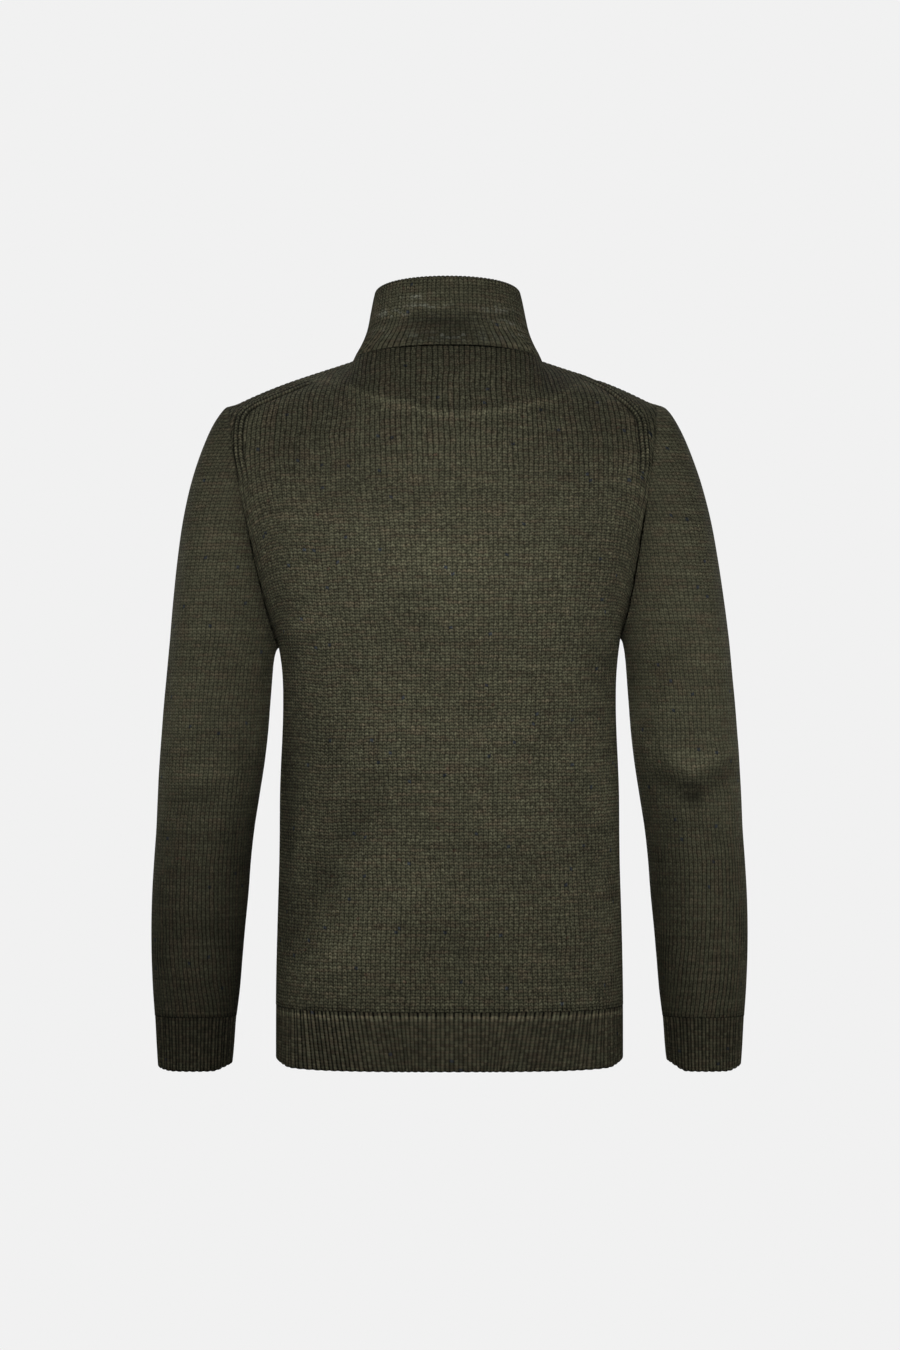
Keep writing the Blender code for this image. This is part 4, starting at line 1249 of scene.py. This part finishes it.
def collar():
    """The finished collar: outer face, turned edge and inner face in one run of rings."""
    form = sway(collar_form())
    form, pressed = press(form, grid_normals(form, -1, True), COLLAR_FOLDS)
    normals = grid_normals(form, -1, True)
    up = unit(np.gradient(form, axis=0)[-1])
    radius = COLLAR_THICKNESS / 2
    angle = np.linspace(0, np.pi, COLLAR_TURN_ROWS + 2)[1:-1, None, None]
    over_normals = normals[-1] * np.cos(angle) + up * np.sin(angle)
    over = form[-1] - normals[-1] * radius + over_normals * radius
    whole = np.concatenate([form, over, (form - normals * COLLAR_THICKNESS)[::-1]])
    facing = np.concatenate([normals, over_normals, -normals[::-1]])
    wales = np.broadcast_to(np.arange(whole.shape[1]) / COLUMNS_A_WALE, whole.shape[:2])
    run = run_up(whole)
    relief = -COLLAR_GROOVE * wale_relief(wales) - SEAM_SINK * bell(run, SEAM_WIDTH)
    outer = whole + facing * relief[..., None]
    risen = np.clip(run / run[len(form) - 1], 0, 1)

    index = closed_round(np.arange(run.size).reshape(run.shape))
    index = np.concatenate([index, index[:1]])
    stitches = collar_stitches(run, risen)
    quads, corners = (
        np.stack([grid[:-1, :-1], grid[1:, :-1], grid[1:, 1:], grid[:-1, 1:]], axis=2)
        for grid in (index, stitches)
    )
    data = bpy.data.meshes.new("collar_knit")
    data.from_pydata(outer.reshape(-1, 3).tolist(), [], quads.reshape(-1, 4).tolist())
    keep_stitches(data, corners)

    # Painted shade along the neck seam, in the creases, over the lower middle and at the turned edge,
    # and painted light on the crease ridges
    tones = seam_painted_shade(run, COLLAR_SEAM_SHADE_WIDTH)
    tones[:len(form)] *= np.clip(1 - COLLAR_FOLD_TONE * pressed, *COLLAR_FOLD_TONES)
    tones[:len(form)] *= painted_patches(form, normals, COLLAR_PAINTED_SHADE)
    turned = np.arange(len(run))[:, None] - len(form) - COLLAR_TURN_ROWS / 4
    keep_on_points(data, "tone", tones * (1 - (1 - COLLAR_EDGE_TONE) * bell(turned, COLLAR_EDGE_ROWS)))
    beside = soft_step(abs(whole[..., 0]), *COLLAR_SIDES)
    low = fade_out(risen, *COLLAR_PULL_ENDS)
    pull = COLLAR_PULL + (COLLAR_BASE_PULL + COLLAR_SIDE_PULL * beside) * low
    keep_on_points(data, "pull", pull)
    # Pale frayed fibre and painted highlight along the collar's creases
    worn_and_highlit = np.zeros(run.shape)
    worn_and_highlit[:len(form)] = np.clip(painted_patches(form, normals, COLLAR_FRAY_AND_HIGHLIGHT) - 1, 0, 1)
    keep_on_points(data, "worn", worn_and_highlit)
    return piece_of("collar_knit", data)


funnel = collar()
funnel.data.materials.append(stockinette("collar_stockinette", 80.0, 0.92, 0.34, 0.10, uneven=0.6))
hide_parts("collar")
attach(funnel, "root")


# ==== The hem and the cuffs ====
# Bands of single rib in the same yarn, knitted tighter, one half round the back and one round
# the front of the hem and a ring at each wrist.  Their ribs draw in towards the lower edge.

RIB_DEPTH = 0.0016
RIB_COURSE = 0.0030
HEM_EDGE_HEIGHT = -0.690
HEM_RIBS = 55                   # on each half
CUFF_RIBS = 30
COLUMNS_A_RIB = 8
BAND_MESH_ROWS = 36
EDGE_ROUND = 0.0012
EDGE_ROUND_HEIGHT = 0.0030
SCALLOP = 0.0005                # how far the edge rises between two ribs
CORNER_REACH = 0.030            # up from the edge, over which a lifted corner fades
HEM_CORNER_LIFT = 0.004
HEM_CORNER = (0.158, 0.1732)    # from the middle
CUFF_CORNER_LIFT = {LEFT: (0.007, 0.003), RIGHT: (0.011, 0.006)}   # inner and outer corners
CUFF_INNER_CORNER, CUFF_OUTER_CORNER = (-0.1, 0.25), (0.8, 1.1)    # shares of its width
HEM_DRAW = 0.010                # how far the ribs shift towards the middle at the lower edge
HEM_DRAW_INNER, HEM_DRAW_OUTER = (0.02, 0.070), (0.135, 0.170)
# Painted shade on the lower edge, where it rounds under, and on the hem towards its sides
EDGE_TONE = 0.35                # how much darker the lower edge is
HEM_SIDE_TONE = 0.22            # and the hem towards its sides
HEM_SIDE = (0.150, 0.170)
# Either side of its middle the hem has a zone of bolder ribs, with painted light over the left one.
HEM_ZONE_INNER, HEM_ZONE_OUTER = (0.060, 0.110), (0.145, 0.165)
HEM_LEFT_PAINTED_LIGHT = 0.22
HEM_PULL, HEM_ZONE_PULL = 0.40, {LEFT: 0.75, RIGHT: 0.10}
CUFF_PULL = 0.7
# How much lighter the cuffs' painted light and shade is than the sleeves'
CUFF_TONE = 1.12
HEM_LINK, CUFF_LINK = 0.85, 0.12        # how much the first stitches under the seam stand out
RIB_MIDDLE_GROOVE = 0.75        # share of the depth between a rib's two rows of legs
RIB_MIDDLE_WIDTH = 0.10         # of a rib


def rib_relief(ribs):
    """How far a rib band sinks: nothing on a rib's two rows of legs, most of the way in the
    groove between them and all the way in the furrow between two ribs."""
    middle = RIB_MIDDLE_GROOVE * bell(ribs % 1.0 - 0.5, RIB_MIDDLE_WIDTH)
    return abs(np.cos(np.pi * ribs)) ** 3 + middle


def band(name, form, ribs, turn, closed, lift, tones, pull):
    """A finished rib band from its form, rows from the lower edge up.  `lift` raises each
    column at the edge, and its courses are counted down from the seam."""
    run = run_up(form)
    to_edge = np.clip(1 - run / EDGE_ROUND_HEIGHT, 0, 1)
    near_edge = np.clip(1 - run / CORNER_REACH, 0, 1) ** 2
    form = form.copy()
    form[..., 2] += lift * near_edge + SCALLOP * to_edge * abs(np.cos(np.pi * ribs)) ** 2
    normals = grid_normals(form, turn, closed)
    to_seam = run[-1:] - run
    relief = -RIB_DEPTH * rib_relief(ribs) - EDGE_ROUND * to_edge**2
    outer = form + normals * relief[..., None]
    steps = (INNER_ROWS, COLUMNS_A_RIB // 2)
    inner_depth = KNIT_THICKNESS - 0.5 * EDGE_ROUND * to_edge**2
    inner = (form - normals * inner_depth[..., None])[::steps[0], ::steps[1]]
    rib_of, course_of = np.broadcast_to(ribs, form.shape[:2]), -to_seam / RIB_COURSE
    if closed:
        rib_of = np.concatenate([rib_of, rib_of[:, -1:] + 1 / COLUMNS_A_RIB], axis=1)
        course_of = closed_round(course_of)
    stitches = np.stack([rib_of, course_of], axis=-1)
    # painted shade where the lower edge rounds under
    tones = tones * (1 - EDGE_TONE * to_edge)
    return knit_mesh(name, outer, inner, stitches, tones, turn, steps, closed=closed, pull=pull)


def hem(name, face, turn):
    """One half of the hem.  Each row is the torso's own course at its height, read at shares
    that crowd towards the middle at the lower edge."""
    count = HEM_RIBS * COLUMNS_A_RIB + 1
    share = np.linspace(0, 1, count)
    rows = []
    for height in np.linspace(HEM_EDGE_HEIGHT, HEM_SEAM_HEIGHT, BAND_MESH_ROWS + 1):
        course = torso_course(face, height, CURVE_POINTS)
        x = read(course, share)[:, 0]
        low = (HEM_SEAM_HEIGHT - height) / (HEM_SEAM_HEIGHT - HEM_EDGE_HEIGHT)
        drawn = soft_step(abs(x), *HEM_DRAW_INNER) * fade_out(abs(x), *HEM_DRAW_OUTER)
        length = np.linalg.norm(np.diff(course, axis=0), axis=1).sum()
        rows.append(read(course, share - np.sign(x) * drawn * low * HEM_DRAW / length))
    form = np.array(rows)
    form, pressed = press(form, grid_normals(form, turn), BODY_FOLDS)
    corner = HEM_CORNER_LIFT * soft_step(abs(form[0, :, 0]), *HEM_CORNER)
    x, on_left = abs(form[..., 0]), form[..., 0] > 0
    bulge = soft_step(x, *HEM_ZONE_INNER) * fade_out(x, *HEM_ZONE_OUTER)
    # painted shade in the folds and towards the sides, and painted light over the left zone
    tones = np.clip(1 - FOLD_TONE * pressed, *FOLD_TONES)
    tones = tones * (1 - HEM_SIDE_TONE * soft_step(x, *HEM_SIDE))
    tones = tones * (1 + HEM_LEFT_PAINTED_LIGHT * bulge * on_left)
    pull = HEM_PULL + bulge * np.where(on_left, HEM_ZONE_PULL[LEFT], HEM_ZONE_PULL[RIGHT])
    return band(name, form, np.arange(count) / COLUMNS_A_RIB, turn, False, corner, tones, pull)


def cuff(name, side):
    """A cuff, its rings read from the sleeve's last sections, from the edge up."""
    last = len(SLEEVE["depth"]) - 1
    at = np.linspace(last, last - CUFF_ROWS, BAND_MESH_ROWS + 1)
    count = CUFF_RIBS * COLUMNS_A_RIB // 2
    form = np.array([sleeve_ring(side, section, count) for section in sleeve_sections(side, at)])
    x = side * form[0, :, 0]
    across = (x - x.min()) / (x.max() - x.min())
    inner_lift, outer_lift = CUFF_CORNER_LIFT[side]
    lift = inner_lift * fade_out(across, *CUFF_INNER_CORNER)
    lift = lift + outer_lift * soft_step(across, *CUFF_OUTER_CORNER)
    # The cuff's painted light and shade, as the sleeve's
    tones = CUFF_TONE * hanging_shade(form, grid_normals(form, -side, True), side)
    ribs, pull = np.arange(2 * count) / COLUMNS_A_RIB, np.full(tones.shape, CUFF_PULL)
    return band(name, form, ribs, -side, True, lift, tones, pull)


def ribbing(name, seed, linked):
    """Single rib: each rib is one wale, whose two rows of legs stand out side by side with a
    dark line of painted shade between them.  The furrow between two ribs shows the beads of its
    stitches in painted shade.  `linked` is how much its first stitches under the seam stand out."""
    finish = Finish(name)
    rib, course = finish.stitches()
    pull = finish.kept("pull")

    below = course * -1                                       # courses under the seam
    wobble = finish.noise(rib * 1.1, course * 0.5, seed) - 0.5
    out = abs((rib + wobble * 0.06).fraction() * 2 - 1)       # 0 mid-rib, 1 in a furrow
    climb = course + wobble * 0.6 + out * LEG_LEAN
    gap = finish.ramp(abs(climb.fraction() * 2 - 1), 0.45, 1.0)
    bead = finish.ramp(abs((course + wobble).fraction() * 2 - 1), 0.30, 0.95)
    furrow = finish.ramp(out, 0.62, 0.96)
    middle = finish.ramp(1 - out, 0.62, 0.96)
    height = 1 - furrow * 0.8 - middle * 0.7 - gap * 0.25
    dot = furrow * (1 - finish.ramp(below, 1.2, 1.8))
    link = finish.ramp(below, 0.8, 1.3) * (1 - finish.ramp(below, 1.8, 3.4))

    each = finish.dice(rib * 2, climb, seed)
    fleck = finish.dice(rib * 2, climb, seed + 11.0)
    tuft = finish.noise(rib * 0.5, course * 0.9, seed + 3.1, 3.0)
    cloud = finish.noise(rib * 0.10, course * 0.05, seed + 7.7)
    fibre = finish.noise(rib * 15.0, course * 6.0, seed + 1.3, 3.0)
    colour = finish.mix(finish.ramp(tuft, 0.40, 0.64), HEATHER_GREEN, HEATHER_BROWN)
    colour = finish.mix(fleck.above(1 - NAVY_SHARE) * 0.7, colour, NAVY_FLECK)
    light = (each * 0.48 + 0.52) * (cloud * 0.4 + 0.80) * (fibre * 0.8 + 0.60)
    light = light * (1 + (link - furrow * link) * linked) * (1 - dot * linked)
    # open_to_light is painted shade in the furrows, on the line between a rib's legs and in the gaps
    # between courses
    open_to_light = 1 - furrow * (bead * 0.20 + pull * 0.34 + 0.34)
    open_to_light = open_to_light * (1 - middle * (pull * 0.42 + 0.40)) * (1 - gap * 0.22)
    shaded = finish.shade(colour, light * open_to_light * finish.kept("tone"))
    return finish.knit(shaded, height, fibre)


HEM_FLAT, CUFF_FLAT = (0.500, 0.058), (0.235, 0.056)
bands = (
    (hem("hem_back_rib", BACK, -1), "hem_back", 100.0, HEM_FLAT, HEM_LINK),
    (hem("hem_front_rib", FRONT, 1), "hem_front", 120.0, HEM_FLAT, HEM_LINK),
    (cuff("cuff_left_rib", LEFT), "cuff_left", 140.0, CUFF_FLAT, CUFF_LINK),
    (cuff("cuff_right_rib", RIGHT), "cuff_right", 160.0, CUFF_FLAT, CUFF_LINK),
)
for piece, node, seed, flat, linked in bands:
    piece.data.materials.append(ribbing(node + "_ribbing", seed, linked))
    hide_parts(node)
    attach(piece, "root")


# ==== The setting ====
# A plain pale floor that runs on into a background of the same tone, and soft lights before,
# behind, beside and over the garment.  The camera is level, and far enough off to see it flat.

PALE = 0.8796                   # the background's own tone
FLOOR_HEIGHT = -1.02
FLOOR_REACH = 9
FILL_LIGHT = 0.03               # the room's own light on the garment
CAMERA_PLACE = (-0.0005, 3.5, -0.305)
PICTURE_HEIGHT = 1.35           # seen at the garment's middle
SENSOR = 36.0

floor_data = bpy.data.meshes.new("floor")
floor_corners = [
    (x * FLOOR_REACH, y * FLOOR_REACH, FLOOR_HEIGHT)
    for x, y in ((-1, -1), (1, -1), (1, 1), (-1, 1))
]
floor_data.from_pydata(floor_corners, [], [(0, 1, 2, 3)])
floor = bpy.data.objects.new("floor", floor_data)
bpy.context.scene.collection.objects.link(floor)
paint = Finish("pale_floor")
paint.fill(paint.shader, {
    "Base Color": (0.0, 0.0, 0.0, 1.0),
    "Specular IOR Level": 0.0,
    "Emission Color": (PALE, PALE, PALE, 1.0),
    "Emission Strength": 1.0,
})
floor_data.materials.append(paint.material)
floor.visible_diffuse = False
floor.visible_glossy = False

world = bpy.data.worlds.new("studio")
world.use_nodes = True
bpy.context.scene.world = world
nodes, links = world.node_tree.nodes, world.node_tree.links
path = nodes.new("ShaderNodeLightPath")
seen = nodes.new("ShaderNodeBackground")
seen.inputs["Color"].default_value = (PALE, PALE, PALE, 1.0)
lit = nodes["Background"]
lit.inputs["Color"].default_value = (1.0, 1.0, 1.0, 1.0)
lit.inputs["Strength"].default_value = FILL_LIGHT
chosen = nodes.new("ShaderNodeMixShader")
links.new(path.outputs["Is Camera Ray"], chosen.inputs["Fac"])
links.new(lit.outputs["Background"], chosen.inputs[1])
links.new(seen.outputs["Background"], chosen.inputs[2])
links.new(chosen.outputs["Shader"], nodes["World Output"].inputs["Surface"])


def soft_light(name, place, aim, size, spread, power):
    """A square soft light at a place, turned to face a point and reined in by a grid."""
    data = bpy.data.lights.new(name, "AREA")
    data.shape = "SQUARE"
    data.size = size
    data.spread = np.radians(spread)
    data.energy = power
    light = bpy.data.objects.new(name, data)
    towards = np.array(aim) - np.array(place)
    light.location = place
    flat = np.hypot(towards[0], towards[1])
    light.rotation_euler = (
        np.arctan2(flat, -towards[2]), 0.0, np.arctan2(towards[1], towards[0]) - np.pi / 2,
    )
    bpy.context.scene.collection.objects.link(light)


soft_light("key", (0.02, 1.35, -0.20), (0, 0, -0.22), 0.6, 76, 3.05)
soft_light("front", (0.10, -1.45, -0.18), (0, 0, -0.22), 0.7, 90, 6.5)
soft_light("front_left", (1.15, -1.00, -0.20), (0.1, 0, -0.30), 0.5, 110, 2.6)
soft_light("front_right", (-1.15, -1.00, -0.20), (-0.1, 0, -0.30), 0.5, 110, 2.6)
soft_light("top", (0.0, -0.75, 1.20), (0, 0, -0.20), 0.6, 90, 4.0)
soft_light("left", (1.30, 0.50, -0.22), (0.1, 0, -0.25), 0.5, 120, 1.2)
soft_light("right", (-1.30, 0.50, -0.42), (-0.1, 0, -0.42), 0.5, 120, 1.5)

camera_data = bpy.data.cameras.new("camera")
camera_data.sensor_width = SENSOR
camera_data.lens = SENSOR * CAMERA_PLACE[1] / PICTURE_HEIGHT
camera = bpy.data.objects.new("camera", camera_data)
camera.location = CAMERA_PLACE
camera.rotation_euler = (np.pi / 2, 0, np.pi)
bpy.context.scene.collection.objects.link(camera)
bpy.context.scene.camera = camera
bpy.context.scene.view_settings.view_transform = "Standard"
